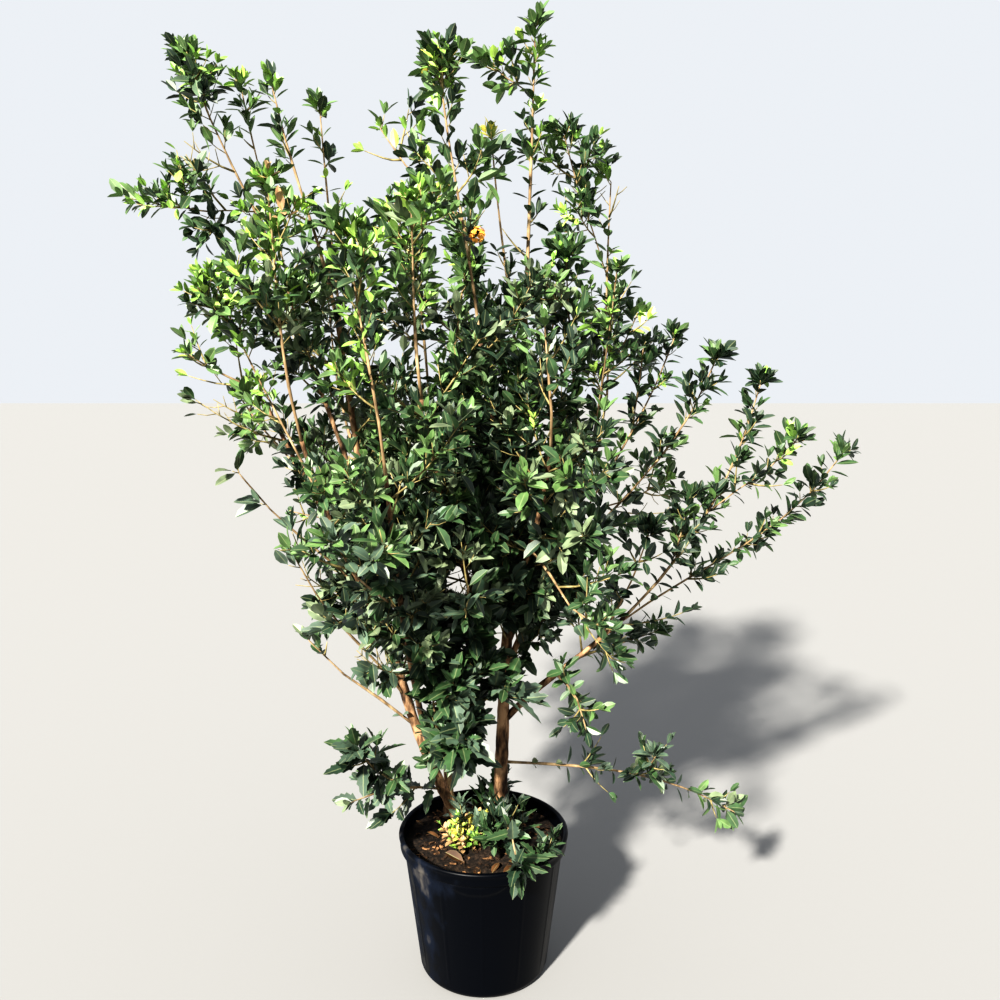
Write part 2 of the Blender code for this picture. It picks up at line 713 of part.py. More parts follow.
def build_masses(limbs, shoots, material):
    for name, axes in shoots.items():
        space = plan_space(name, limbs, shoots)
        build_mass(name, axes, space, limbs[MASSES[name][0]], material)


def main():
    for old in list(bpy.data.objects):
        bpy.data.objects.remove(old)
    materials = {name: make_material(name) for name in COLOURS}
    build_pot(materials["pot"])
    build_soil(materials["soil"])
    limbs = plan_limbs()
    shoots = plan_shoots(limbs)
    build_limbs(limbs, materials["bark"])
    build_masses(limbs, shoots, materials["foliage"])


if __name__ == "__main__":
    main()
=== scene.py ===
"""The looks of a potted osmanthus: barked limbs, twigs, leaves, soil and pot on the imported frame."""
import math
import random

import bpy
import numpy as np
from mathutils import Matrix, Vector, noise


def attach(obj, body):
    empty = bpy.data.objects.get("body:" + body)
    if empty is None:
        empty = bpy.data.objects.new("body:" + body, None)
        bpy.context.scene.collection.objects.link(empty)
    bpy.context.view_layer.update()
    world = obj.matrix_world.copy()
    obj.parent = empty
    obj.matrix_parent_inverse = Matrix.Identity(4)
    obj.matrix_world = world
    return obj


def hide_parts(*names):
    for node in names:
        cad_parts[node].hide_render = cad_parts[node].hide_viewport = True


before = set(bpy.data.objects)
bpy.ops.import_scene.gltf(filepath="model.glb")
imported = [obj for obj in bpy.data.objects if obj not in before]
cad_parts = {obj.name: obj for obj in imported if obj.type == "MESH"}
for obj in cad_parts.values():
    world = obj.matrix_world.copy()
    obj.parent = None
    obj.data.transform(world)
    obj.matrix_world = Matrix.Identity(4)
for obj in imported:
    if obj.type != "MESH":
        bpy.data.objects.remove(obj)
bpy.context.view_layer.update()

UP = Vector((0.0, 0.0, 1.0))
GAP = 0.0003

# Pot and soil, as in the solids
POT_HEIGHT = 0.347
RIM_RADIUS = 0.200
BAND_RADIUS = 0.197
BAND_HEIGHT = 0.032
BODY_TOP_RADIUS = 0.188
BASE_RADIUS = 0.151
BASE_ROUNDING = 0.020
WALL = 0.003
FLOOR = 0.004
LIP_RADIUS = 0.006
SOIL_TOP = 0.326
SOIL_EDGE_TOP = 0.321

# Limbs, as in the solids
LIMB_STEP = 0.11
HANDLE = 0.36
STEM_LIFT = 0.6
FLARE = 0.45
FLARE_HEIGHT = 0.035
FLARE_RING = 0.35
BOUGH_SHARE = 0.62
BOUGH_RADII = (0.0110, 0.0042)
SIDE_FOLLOW = 0.15
SHOOT_RADIUS = 0.0046
SHOOT_TIP_RADIUS = 0.0018
SHOOT_STEP = 0.10
FORK_LIFT = 0.5
SHOOT_END = 0.97
TIP_LEAVES = 0.06

# Name: foot x and y, lean at the foot in x and y per height, tip, radius at the foot and at the tip
STEMS = {
    "main_stem": ((0.040, 0.040), (0.00, 0.00), (0.093, 0.000, 1.51), 0.0165, 0.0060),
    "left_stem": ((-0.045, 0.030), (-0.52, -0.06), (-0.295, -0.080, 1.52), 0.0135, 0.0050),
    "back_stem": ((-0.085, 0.090), (-0.03, 0.12), (-0.130, 0.250, 1.26), 0.0110, 0.0048),
}

# Name: parent, share of the parent's length where it leaves, tip, how far the tip turns up
BOUGHS = {
    "centre_left_bough": ("main_stem", 0.65, (0.000, -0.150, 1.49), 0.6),
    "middle_bough": ("main_stem", 0.33, (-0.110, -0.280, 1.39), 0.8),
    "right_bough": ("main_stem", 0.29, (0.320, -0.050, 0.89), 0.1),
    "right_rear_bough": ("main_stem", 0.39, (0.243, 0.120, 1.16), 0.9),
    "front_right_bough": ("main_stem", 0.49, (0.136, -0.280, 1.29), 0.9),
    "back_right_bough": ("main_stem", 0.44, (0.300, 0.420, 1.22), 0.5),
    "far_left_bough": ("left_stem", 0.50, (-0.475, 0.020, 1.35), 0.1),
    "left_front_bough": ("left_stem", 0.42, (-0.340, -0.280, 1.31), 0.4),
    "upper_left_bough": ("left_stem", 0.70, (-0.422, 0.080, 1.57), 0.3),
    "front_bough": ("left_stem", 0.22, (-0.168, -0.380, 1.25), 0.8),
    "back_left_bough": ("back_stem", 0.45, (-0.360, 0.420, 1.25), 0.4),
    "back_bough": ("back_stem", 0.62, (0.020, 0.500, 1.22), 0.5),
}

# Name: parent, share of its length, tip with its leaves, how far the tip turns up, twig length, forks.
# A fork is a second leader: share of the shoot's length where it leaves, and its tip.
MASSES = {
    "top_left_mass": ("upper_left_bough", 1.0, (-0.610, 0.000, 2.11), 0.5, 0.12,
                      [(0.40, (-0.660, -0.100, 1.80))]),
    "left_crown_mass": ("left_stem", 1.0, (-0.413, -0.100, 2.02), 0.4, 0.08, []),
    "left_inner_crown_mass": ("left_stem", 0.92, (-0.344, 0.060, 2.00), 0.4, 0.08, []),
    "left_rear_crown_mass": ("upper_left_bough", 0.72, (-0.535, 0.140, 2.08), 0.3, 0.11, []),
    "left_front_crown_mass": ("left_front_bough", 1.0, (-0.400, -0.220, 1.84), 0.6, 0.13, []),
    "left_edge_mass": ("left_front_bough", 0.75, (-0.535, -0.170, 1.66), 0.3, 0.14, []),
    "far_left_mass": ("far_left_bough", 1.0, (-0.640, -0.060, 1.49), 0.2, 0.10, []),
    "far_left_rear_mass": ("far_left_bough", 0.70, (-0.580, 0.140, 1.39), 0.3, 0.10, []),
    "left_low_mass": ("left_front_bough", 0.38, (-0.476, -0.300, 1.28), 0.3, 0.09, []),
    "left_rear_low_mass": ("back_left_bough", 0.60, (-0.520, 0.260, 1.08), 0.3, 0.10, []),
    "left_flank_mass": ("left_stem", 0.36, (-0.385, -0.230, 1.10), 0.5, 0.10, []),
    "left_foot_mass": ("left_stem", 0.30, (-0.400, -0.080, 0.87), 0.4, 0.08, []),
    "left_base_mass": ("left_stem", 0.17, (-0.310, -0.200, 0.50), -0.3, 0.10,
                       [(0.45, (-0.271, -0.220, 0.68))]),
    "top_rear_mass": ("back_stem", 1.0, (-0.180, 0.330, 1.88), 0.5, 0.13, []),
    "top_centre_left_mass": ("centre_left_bough", 1.0, (-0.084, -0.100, 2.06), 0.4, 0.10,
                             [(0.45, (-0.225, 0.020, 1.96))]),
    "top_centre_mass": ("main_stem", 0.88, (0.018, 0.110, 1.95), 0.4, 0.08, []),
    "top_mass": ("main_stem", 1.0, (0.111, 0.000, 2.15), 0.4, 0.08, [(0.80, (0.004, 0.050, 2.09))]),
    "top_right_mass": ("right_rear_bough", 1.0, (0.281, 0.080, 1.86), 0.4, 0.09,
                       [(0.72, (0.169, 0.050, 1.95))]),
    "right_inner_crown_mass": ("right_rear_bough", 0.88, (0.172, -0.070, 1.71), 0.5, 0.13, []),
    "right_crown_mass": ("right_rear_bough", 0.94, (0.282, -0.080, 1.68), 0.4, 0.11,
                         [(0.55, (0.345, 0.000, 1.59))]),
    "centre_right_mass": ("main_stem", 0.78, (0.179, 0.170, 1.62), 0.4, 0.12, []),
    "right_rear_mass": ("right_rear_bough", 0.60, (0.443, 0.100, 1.53), 0.5, 0.10,
                        [(0.60, (0.360, 0.060, 1.52))]),
    "right_mid_mass": ("right_rear_bough", 0.42, (0.508, -0.040, 1.49), 1.0, 0.10, []),
    "right_mass": ("right_bough", 1.0, (0.613, 0.000, 1.44), 1.3, 0.10,
                   [(0.50, (0.690, -0.070, 1.32)), (0.25, (0.450, -0.080, 1.20))]),
    "far_right_mass": ("right_bough", 0.88, (0.850, 0.110, 1.26), 0.6, 0.09, []),
    "right_front_mass": ("right_bough", 0.80, (0.350, -0.200, 1.15), 0.5, 0.11, []),
    "right_low_mass": ("right_bough", 0.60, (0.440, 0.130, 0.80), 0.0, 0.10, []),
    "right_hanging_mass": ("right_bough", 0.45, (0.225, -0.240, 0.66), -0.9, 0.10, []),
    "right_base_mass": ("main_stem", 0.21, (0.640, 0.070, 0.33), -0.4, 0.09,
                        [(0.55, (0.400, -0.060, 0.58))]),
    "front_crown_mass": ("middle_bough", 1.0, (-0.126, -0.260, 1.80), 0.5, 0.14, []),
    "front_left_crown_mass": ("front_bough", 1.0, (-0.238, -0.330, 1.74), 0.5, 0.14, []),
    "rear_crown_mass": ("back_stem", 0.86, (-0.032, 0.300, 1.78), 0.5, 0.13, []),
    "front_right_mass": ("front_right_bough", 1.0, (0.120, -0.300, 1.58), 0.4, 0.14, []),
    "front_low_mass": ("middle_bough", 0.45, (-0.020, -0.390, 1.08), 0.6, 0.14, []),
    "base_mass": ("left_stem", 0.07, (-0.110, -0.240, 0.88), 0.6, 0.16,
                  [(0.35, (0.000, -0.210, 0.86))]),
    "rim_mass": ("main_stem", 0.06, (0.080, -0.250, 0.360), -0.9, 0.08, []),
    "back_left_mass": ("back_left_bough", 1.0, (-0.420, 0.500, 1.70), 0.5, 0.15, []),
    "back_mass": ("back_bough", 1.0, (-0.020, 0.590, 1.62), 0.5, 0.15, []),
    "back_right_mass": ("back_right_bough", 1.0, (0.330, 0.500, 1.62), 0.5, 0.15, []),
    "back_right_low_mass": ("back_right_bough", 0.60, (0.510, 0.400, 1.16), 0.5, 0.15, []),
    "back_low_mass": ("back_stem", 0.30, (-0.160, 0.480, 0.86), 0.4, 0.14, []),
    "front_bulge_mass": ("front_bough", 0.62, (-0.240, -0.590, 1.22), 0.5, 0.15, []),
    "front_right_low_mass": ("front_right_bough", 0.50, (0.230, -0.500, 1.02), 0.5, 0.14, []),
}

# Growth rule, as in the solids
SEED = 41
FIRST_NODE = 0.16
NODE_STEP = 0.170
TWIG_ANGLE = math.radians(52)
TWIG_LIFT = 0.45
TWIG_TAPER = 0.75
TWIG_BEND = 0.4
TWIG_SIZES = (0.80, 1.15)
TWIG_CUTS = (1.0, 0.7, 0.4)
TWIG_RADIUS = 0.0026
TWIG_END_RADIUS = 0.0018
SWING_JITTER = 0.3
NODE_JITTER = 0.2
SPACE_MARGIN = 0.006
LIMB_MARGIN = 0.006
LEAF_LENGTH = 0.100
LEAF_WIDTH = 0.044
FULL_SPREAD = 0.12
LEAF_WIDEST = 0.45

# Finer growth
TIP_REACH = 0.055  # how far twigs and shoots go on into their last leaves
SLENDER_REACH = 0.012
SPRIG_STEP = 0.034
SPRIG_ANGLE = math.radians(48)
SPRIG_LENGTHS = (0.035, 0.075)
SPRIG_LIFTS = (0.2, 0.8)
SLENDER_SPRIGS = 0.55  # length of the sprigs of a slender shoot, as a share of the others'
SPRIG_RADIUS = 0.0013
SPRIG_END_RADIUS = 0.0008
SHOOT_SPRIG_STEP = 0.046
SHOOT_SPRIG_FIRST = 0.30
SLENDER_SPRIG_STEP = 0.060
SLENDER_SPRIG_FIRST = 0.25
SPRIG_JITTER = 0.3
SPRIG_SHORTENING = (1.2, 0.7)  # length of the sprigs at a shoot's foot, less this much at its tip
SHOOT_SPRIG_SPREAD = 0.9
TWIG_SPRIG_FIRST = 0.18
LEAF_FIRSTS = {"sprig": 0.35, "twig": 0.45, "slender twig": 0.20, "shoot": 0.70, "tuft": 0.30}
SLENDER_PAIR_STEP = 0.025
SLENDER_FIRST = 0.10
SLENDER_SPREAD = math.radians(24)  # how much further the leaves at a slender shoot's foot stand out
FOOT_SIZE = 0.72  # size of the leaves at a slender shoot's foot, as a share of those at its tip
SHOOT_DRAWN_STEP = 0.030
SHOOT_THICKNESS = 0.80  # thickness of the shoots drawn, as a share of the solids'
PAIR_STEP = 0.019
SHOOT_PAIR_STEP = 0.030
TUFT_PAIR_STEP = 0.014
PAIR_ANGLES = (math.radians(40), math.radians(64))
CLUSTER_ANGLES = (math.radians(12), math.radians(38))
LEAF_SIZES = (0.034, 0.050)
LARGE_SIZES = (0.038, 0.058)
YOUNG_SIZES = (0.026, 0.040)
TOOTHED_SIZES = (0.060, 0.088)
LEAF_RATIO = (0.38, 0.50)
LEAF_FOLDS = (0.15, 0.50)
LEAF_CURLS = (-0.02, 0.20)
LEAF_SIZE_SPREAD = (0.80, 1.10)
LEAF_SWING = 0.25
LEAF_LEAN = 0.15
LEAF_FACING = (0.7, 0.6, 0.40)  # how far a leaf faces along its twig, up and aside
TOOTHED_SHARE = 0.6  # share of the sprays of toothed leaves in the masses that have them
CLUSTER_SIZES = (0.85, 0.65)
CLUSTER_INNER_ANGLE = 0.6
LEAF_ROUGHNESS = 0.50
LEAF_SPECULAR = 0.75
LEAF_PATCHES = 38.0
LEAF_STOPS = ((0.30, 0.60), (0.50, 1.00), (0.72, 1.50))  # place in the noise, times the base colour
LEAF_GRAIN = (420.0, 0.25, 0.0006)  # scale, strength and depth of the bumps
# Painted highlight: a pale line along each midrib, partly the rib's own paler colour, and along each
# leaf's margin
PALE_RIB_AND_MARGIN_HIGHLIGHT_COLOUR = (0.300, 0.330, 0.170)
RIB_AND_MARGIN_HIGHLIGHT_PALENESS = 0.55
RIB_AND_MARGIN_HIGHLIGHT_STOPS = ((0.00, (0.30,) * 3), (0.10, (0.0,) * 3), (0.86, (0.0,) * 3), (0.96, (0.65,) * 3))
PETIOLE = 0.0035
PETIOLE_SHARE = 0.3
LEAF_MIDDLE = 0.6

# Leafy side shoots on the stems and boughs
INNER_FROM = 0.78
INNER_STEP = 0.060
INNER_LENGTHS = (0.07, 0.17)
INNER_LIFTS = (0.3, 0.9)
INNER_JITTER = 0.4
OPEN_SIDES = (-0.25, 0.22)  # the crown is dense between these
OPEN_SHARE = 0.35  # share of the inner shoots that grow outside them

# Bark relief: for each layer how wide and how high its waves stand, and how deep they are
BARK_STEP = 0.009
BARK_SIDES = 18
BARK_RIDGES = (1.6, 9.0, 0.16)
BARK_CRACKS = (3.5, 45.0, 0.12)
BARK_KNOTS = (0.8, 14.0, 0.6)
KNOT_THRESHOLD = 0.35
LIMB_PHASE = 7.3

# Relief of the shoots: an oval section that turns, and a knot on every third ring
OVAL_DEPTH = 0.10
OVAL_TURN = 0.9
NODE_SWELLING = 0.12

# Pot relief
POT_SIDES = 288
POT_RIBS = 12
RIB_DEPTH = 0.0012
GRIP_ANGLES = (math.radians(-94), math.radians(86))
GRIP_HALF_ANGLE = math.radians(21)
GRIP_HEIGHT = 0.030
GRIP_DEPTH = 0.0035

# Pot plastic, and the dust and painted patches of sunlight on its lit left side
PLASTIC_COLOUR = (0.0010, 0.0016, 0.0032)
PLASTIC_SPECULAR = 0.10
# Painted sunlight: this dust colour also paints the patches of sun on the pot's lit left side
DUST_AND_SUN_PATCH_COLOUR = (0.085, 0.078, 0.070)
DUST_AND_SUN_PATCH_SIDES = (0.06, -0.14)  # x where the dust and painted sun patches begin and where they are thickest
SMEAR_SCALE = 20.0
SMEAR_STRETCH = (1.0, 1.0, 0.55)
SMEAR_PLACES = (0.36, 0.52, 0.70)
DUST_AND_SUN_PATCH_ROUGHNESS = ((0.30, (0.36,) * 3), (0.60, (0.85,) * 3))
PLASTIC_GRAIN = (120.0, 0.10, 0.001)  # scale, strength and depth of the bumps

# Tufts over the soil: place, reach about it, shoots, heights, kind, leaf sizes and colours
YOUNG_COLOURS = ("young", "bright", "yellow", "bronze")
TUFTS = (
    ((-0.040, -0.040), 0.030, 30, (0.030, 0.080), "plain", (0.016, 0.028), YOUNG_COLOURS),
    ((0.080, -0.060), 0.080, 12, (0.030, 0.075), "toothed", (0.045, 0.065), ("dark", "deep")),
    ((0.000, 0.000), 0.070, 12, (0.060, 0.130), "toothed", (0.045, 0.070), ("dark", "deep", "slate")),
)

# The soil with its lumps and a hollow, and the chips and fallen leaves on it
LUMPS = ((22.0, 3.0, 0.006), (70.0, 9.0, 0.003))  # scale, phase and height
HEAP = 0.010
SOIL_REACH = 0.185
HOLLOW_PLACE = (-0.05, -0.13)
HOLLOW_DEPTH = 0.010
HOLLOW_AREA = 0.004
CHIPS = 300
CHIP_SIZES = (0.004, 0.018)
CHIPS_REACH = 0.172
FALLEN = 18
FALLEN_REACH = 0.165
FALLEN_SIZES = (0.028, 0.050)
DRY_COLOUR = (0.080, 0.040, 0.018)
DRY_SPECULAR = 0.12

# Bark, compost and chips: ramps of colour, darkest first
WOOD_ROUGHNESS = 0.82
WOOD_SPECULAR = 0.3
WOOD_BUMP = 0.002
UPRIGHT_GRAIN = (1.0, 1.0, 0.35)
TWIG_GRAIN = (1.0, 1.0, 0.5)
EVEN_GRAIN = (1.0, 1.0, 1.0)
BARK_STOPS = ((0.38, (0.030, 0.017, 0.010)), (0.50, (0.170, 0.098, 0.052)), (0.62, (0.420, 0.265, 0.150)))
SHOOT_STOPS = ((0.30, (0.100, 0.066, 0.034)), (0.50, (0.260, 0.180, 0.098)), (0.72, (0.450, 0.340, 0.200)))
TWIG_STOPS = ((0.30, (0.110, 0.095, 0.036)), (0.50, (0.230, 0.190, 0.080)), (0.72, (0.400, 0.320, 0.160)))
COMPOST_STOPS = ((0.35, (0.004, 0.003, 0.002)), (0.52, (0.014, 0.009, 0.006)), (0.72, (0.05, 0.032, 0.02)))
CHIP_STOPS = ((0.38, (0.008, 0.005, 0.003)), (0.52, (0.045, 0.024, 0.012)), (0.68, (0.360, 0.200, 0.095)))

# Camera, as the photo's: place in metres, pitch in degrees, lens and sensor width in millimetres
CAMERA_PLACE = (0.039, -2.16, 1.564)
CAMERA_PITCH = 11.1
CAMERA_LENS = 35.7
CAMERA_SENSOR = 36.0

# Floor, sky and sun
FLOOR_REACH = 14.0
FLOOR_DROP = 0.0004
FLOOR_COLOUR = (0.24, 0.24, 0.24, 1.0)
SKY_COLOUR = (0.93, 0.96, 1.00, 1.0)
SKY_STRENGTH = 0.65
SUN_PLACE = (-1.4, -2.8, 2.2)  # the sun shines from here towards the origin
SUN_STRENGTH = 10.5
SUN_COLOUR = (1.0, 0.96, 0.88)
SUN_SPREAD = math.radians(4.0)
PICTURE_LOOK = "High Contrast"

# A leaf's outline: share of its length, share of its half width
PLAIN_OUTLINE = ((0.07, 0.10), (0.30, 0.80), (0.57, 1.00), (0.85, 0.64))
TOOTHED_OUTLINE = ((0.06, 0.09), (0.19, 0.90), (0.26, 0.62), (0.42, 1.00), (0.49, 0.70),
                   (0.63, 0.88), (0.70, 0.55), (0.83, 0.52))
PETAL_OUTLINE = ((0.30, 0.70), (0.70, 1.00))

# Linear base colours of the leaves
LEAF_COLOURS = {
    "dark": (0.016, 0.037, 0.020),
    "deep": (0.034, 0.074, 0.028),
    "slate": (0.060, 0.095, 0.065),
    "mid": (0.085, 0.155, 0.050),
    # The olive colour is partly the leaves' own grey-green and partly painted sheen
    "olive": (0.140, 0.180, 0.105),
    "young": (0.185, 0.330, 0.065),
    "bright": (0.290, 0.450, 0.085),
    "bronze": (0.380, 0.240, 0.120),
    "yellow": (0.620, 0.560, 0.120),
}

# How the sprays of a part of the crown are coloured: its older leaves and those at its tips
BLENDS = {
    "top": ({"dark": 4, "deep": 6, "mid": 4, "young": 1}, {"deep": 1, "mid": 4, "young": 6, "bright": 3}),
    "left": ({"dark": 2, "deep": 4, "mid": 5, "olive": 2, "young": 3},
             {"mid": 2, "young": 6, "bright": 4, "bronze": 0.4}),
    "centre": ({"dark": 4, "deep": 6, "mid": 4, "olive": 3},
               {"deep": 3, "mid": 4, "young": 4, "bright": 1}),
    "low": ({"dark": 4, "deep": 5, "slate": 3, "olive": 2}, {"deep": 4, "mid": 3, "slate": 2, "olive": 2}),
    "base": ({"dark": 5, "deep": 5, "slate": 4}, {"dark": 3, "deep": 4, "slate": 4, "olive": 1}),
    "right": ({"dark": 6, "deep": 6, "mid": 2}, {"dark": 4, "deep": 6, "mid": 3, "young": 1}),
    "rear": ({"dark": 5, "deep": 6, "mid": 2}, {"deep": 4, "mid": 5, "young": 2}),
}

# Places of a few sprays in colours of their own: place, reach, colour
ACCENTS = (
    ((-0.098, -0.080, 2.050), 0.024, "yellow"),
    ((0.015, 0.090, 1.930), 0.020, "yellow"),
    ((0.110, -0.200, 0.690), 0.030, "yellow"),
    ((0.378, -0.100, 1.050), 0.030, "yellow"),
    ((0.145, -0.280, 1.335), 0.050, "bright"),
    ((0.194, -0.200, 1.480), 0.045, "bright"),
)

# A ball of small flowers on the sprig seen nearest to this x and z of the plane at GAP_DEPTH
BLOSSOM_PLACE = (-0.006, 1.672)
BLOSSOM_DEPTH_WEIGHT = 0.40  # how far sprigs further back are passed over
BLOSSOM_RADIUS = 0.015
BLOSSOM_COLOUR = (0.900, 0.420, 0.080)
FLORETS = 70
FLORET_SIZE = 0.0042

# Gaps where the sky shows through the crown from the front, where they cross the upright
# plane at GAP_DEPTH: x, z and radius
GAP_DEPTH = -0.10
GAPS = (
    (-0.580, 1.880, 0.035), (-0.507, 1.860, 0.036), (-0.355, 1.810, 0.032), (-0.194, 1.825, 0.036),
    (0.040, 1.725, 0.046), (0.275, 1.785, 0.046), (0.290, 1.710, 0.030), (-0.036, 1.805, 0.020),
    (-0.560, 1.360, 0.050), (-0.580, 1.430, 0.026), (-0.540, 1.260, 0.030), (-0.440, 1.160, 0.038),
    (-0.480, 1.075, 0.052), (-0.405, 0.985, 0.050), (-0.420, 0.930, 0.040), (-0.300, 0.825, 0.050),
    (-0.226, 0.802, 0.030), (-0.285, 0.703, 0.062), (-0.220, 1.463, 0.016), (-0.042, 0.986, 0.036),
    (0.036, 0.863, 0.024), (0.365, 1.150, 0.030),
)

# Part of the crown, habit, fullness from foot to tip and fullness of the forks of each mass
LOOKS = {
    "top_left_mass": ("top", "bushy", (1.2, 0.9, 0.2, 0.1, 1.8, 2.2, 1.8), 1.2),
    "left_crown_mass": ("top", "slender", (0.9, 0.8, 0.4, 0.6, 0.9), 0.9),
    "left_inner_crown_mass": ("top", "slender", (0.9, 0.9, 0.45, 0.35, 1.1), 0.9),
    "left_rear_crown_mass": ("top", "slender", (1.2, 1.1, 0.5, 0.3, 1.2), 0.9),
    "left_front_crown_mass": ("left", "bushy", (0.8, 1.1, 1.8, 1.9, 1.0), 0.9),
    "left_edge_mass": ("left", "bushy", (1.2, 0.9, 0.9, 1.8, 2.4, 2.0), 0.9),
    "far_left_mass": ("left", "bushy", (0.6, 0.3, 0.5, 0.5, 0.35), 0.5),
    "far_left_rear_mass": ("left", "bushy", (0.8, 0.8, 0.7, 0.4), 0.4),
    "left_low_mass": ("low", "slender", (0.7, 0.5, 0.3, 0.1, 0.5), 0.3),
    "left_rear_low_mass": ("rear", "slender", (0.5, 0.5), 0.5),
    "left_flank_mass": ("low", "bushy", (0.35, 0.1, 0.1, 0.2, 0.08), 0.3),
    "left_foot_mass": ("low", "slender", (0.4, 0.1, 0.1, 0.2, 0.7), 0.3),
    "left_base_mass": ("base", "slender", (0.8, 0.55, 0.5, 0.45, 0.3), 0.6),
    "top_rear_mass": ("top", "bushy", (1.4, 1.7, 1.6, 1.0), 1.2),
    "top_centre_left_mass": ("top", "bushy", (1.0, 1.2, 0.5, 1.0, 2.4, 1.4), 0.3),
    "top_centre_mass": ("top", "slender", (1.0, 1.1, 0.5, 0.3, 1.2), 0.9),
    "top_mass": ("top", "slender", (1.2, 0.8, 0.4, 0.8, 1.5, 0.9), 1.3),
    "top_right_mass": ("top", "bushy", (1.0, 1.0, 1.0, 0.6, 0.5, 0.3), 1.5),
    "right_inner_crown_mass": ("centre", "bushy", (1.0, 1.1, 1.1, 1.8, 2.2), 1.0),
    "right_crown_mass": ("top", "slender", (0.9, 1.2, 1.1, 0.8, 0.4), 0.9),
    "centre_right_mass": ("centre", "bushy", (0.7, 0.6, 0.4, 0.3, 0.7), 0.7),
    "right_rear_mass": ("right", "slender", (0.6, 0.8, 0.8, 0.6, 1.2), 0.6),
    "right_mid_mass": ("right", "slender", (0.9, 0.7, 0.8, 1.5, 2.4), 1.0),
    "right_mass": ("right", "slender", (2.4, 1.8, 1.0, 1.2, 2.2), 1.5),
    "far_right_mass": ("right", "slender", (1.2, 1.8, 1.4, 1.7, 0.9, 0.9), 0.8),
    "right_front_mass": ("right", "slender", (0.4, 0.5, 0.4, 0.9, 1.8), 0.8),
    "right_low_mass": ("right", "slender", (1.8, 1.2, 0.8, 1.0, 1.6), 0.8),
    "right_hanging_mass": ("right", "slender", (0.7, 0.6, 0.35), 0.6),
    "right_base_mass": ("low", "slender", (0.6, 0.5, 0.7, 0.5, 0.5), 0.5),
    "front_crown_mass": ("left", "bushy", (1.9, 2.1, 1.7), 1.5),
    "front_left_crown_mass": ("left", "bushy", (1.3, 1.5, 1.6, 1.9), 1.4),
    "rear_crown_mass": ("top", "bushy", (1.4, 1.8, 2.3, 1.6), 1.7),
    "front_right_mass": ("centre", "bushy", (0.8, 0.5, 0.4, 0.25), 0.5),
    "front_low_mass": ("low", "bushy", (0.5, 0.5), 0.3),
    "base_mass": ("base", "bushy", (1.6, 1.8, 1.3, 1.0, 0.8), 1.0),
    "rim_mass": ("base", "slender", (0.4, 0.4), 1.0),
    "back_left_mass": ("rear", "bushy", (1.4, 1.4), 0.9),
    "back_mass": ("rear", "bushy", (0.9, 0.8), 0.8),
    "back_right_mass": ("rear", "bushy", (0.8, 0.8, 0.4), 0.8),
    "back_right_low_mass": ("rear", "bushy", (0.5, 0.4, 0.4), 0.5),
    "back_low_mass": ("rear", "bushy", (0.8, 0.6), 0.7),
    "front_bulge_mass": ("low", "bushy", (0.7, 0.6, 0.4), 0.6),
    "front_right_low_mass": ("right", "bushy", (0.5, 0.5), 0.5),
}
LARGE_LEAVED = {"low", "base"}
TOOTHED_MASSES = {"left_base_mass", "rim_mass", "base_mass"}


class Axis:
    """The centre line of a limb: points, unit directions and radii."""

    def __init__(self, points, ways, radii):
        self.points = points
        self.ways = ways
        self.radii = radii

    def spot(self, share):
        """Point, direction and radius at a share of the axis."""
        place = min(max(share, 0.0), 1.0) * (len(self.points) - 1)
        low = min(int(place), len(self.points) - 2)
        part = place - low
        point = self.points[low].lerp(self.points[low + 1], part)
        way = self.ways[low].lerp(self.ways[low + 1], part).normalized()
        radius = self.radii[low] + (self.radii[low + 1] - self.radii[low]) * part
        return point, way, radius

    def length(self):
        return sum((b - a).length for a, b in zip(self.points, self.points[1:]))


def curve(start, leave, arrive, tip, steps):
    """Points and directions of a cubic curve between two places with given directions."""
    reach = (tip - start).length * HANDLE
    handles = [start, start + leave * reach, tip - arrive * reach, tip]
    points = []
    ways = []
    for k in range(steps + 1):
        t = k / steps
        s = 1.0 - t
        weights = (s**3, 3 * s * s * t, 3 * s * t * t, t**3)
        slopes = (s * s, 2 * s * t, t * t)
        points.append(sum((h * w for h, w in zip(handles, weights)), Vector()))
        spans = [b - a for a, b in zip(handles, handles[1:])]
        ways.append(sum((d * w for d, w in zip(spans, slopes)), Vector()).normalized())
    return points, ways


def grow_axis(start, way, follow, tip, lift, radii, step):
    """An axis from start to tip that first follows a direction and at last turns up."""
    chord = (tip - start).normalized()
    leave = (chord * (1.0 - follow) + way * follow).normalized()
    arrive = (chord + UP * lift).normalized()
    steps = max(3, round((tip - start).length / step))
    points, ways = curve(start, leave, arrive, tip, steps)
    widths = [radii[0] + (radii[1] - radii[0]) * k / steps for k in range(steps + 1)]
    return Axis(points, ways, widths)


def stem_axis(foot, lean, tip, foot_radius, tip_radius):
    """A stem with a flare at its foot, cut level where it stands on the soil."""
    start = Vector((foot[0], foot[1], SOIL_TOP + GAP))
    way = Vector((lean[0], lean[1], 1.0)).normalized()
    radii = (foot_radius, tip_radius)
    axis = grow_axis(start, way, 1.0, Vector(tip), STEM_LIFT, radii, LIMB_STEP)
    axis.points.insert(1, start.lerp(axis.points[1], FLARE_RING))
    axis.ways.insert(1, way)
    axis.ways[0] = UP.copy()
    axis.radii.insert(1, axis.radii[0])
    heights = [p.z - start.z for p in axis.points]
    axis.radii = [r * (1.0 + FLARE * math.exp(-h / FLARE_HEIGHT)) for r, h in zip(axis.radii, heights)]
    return axis


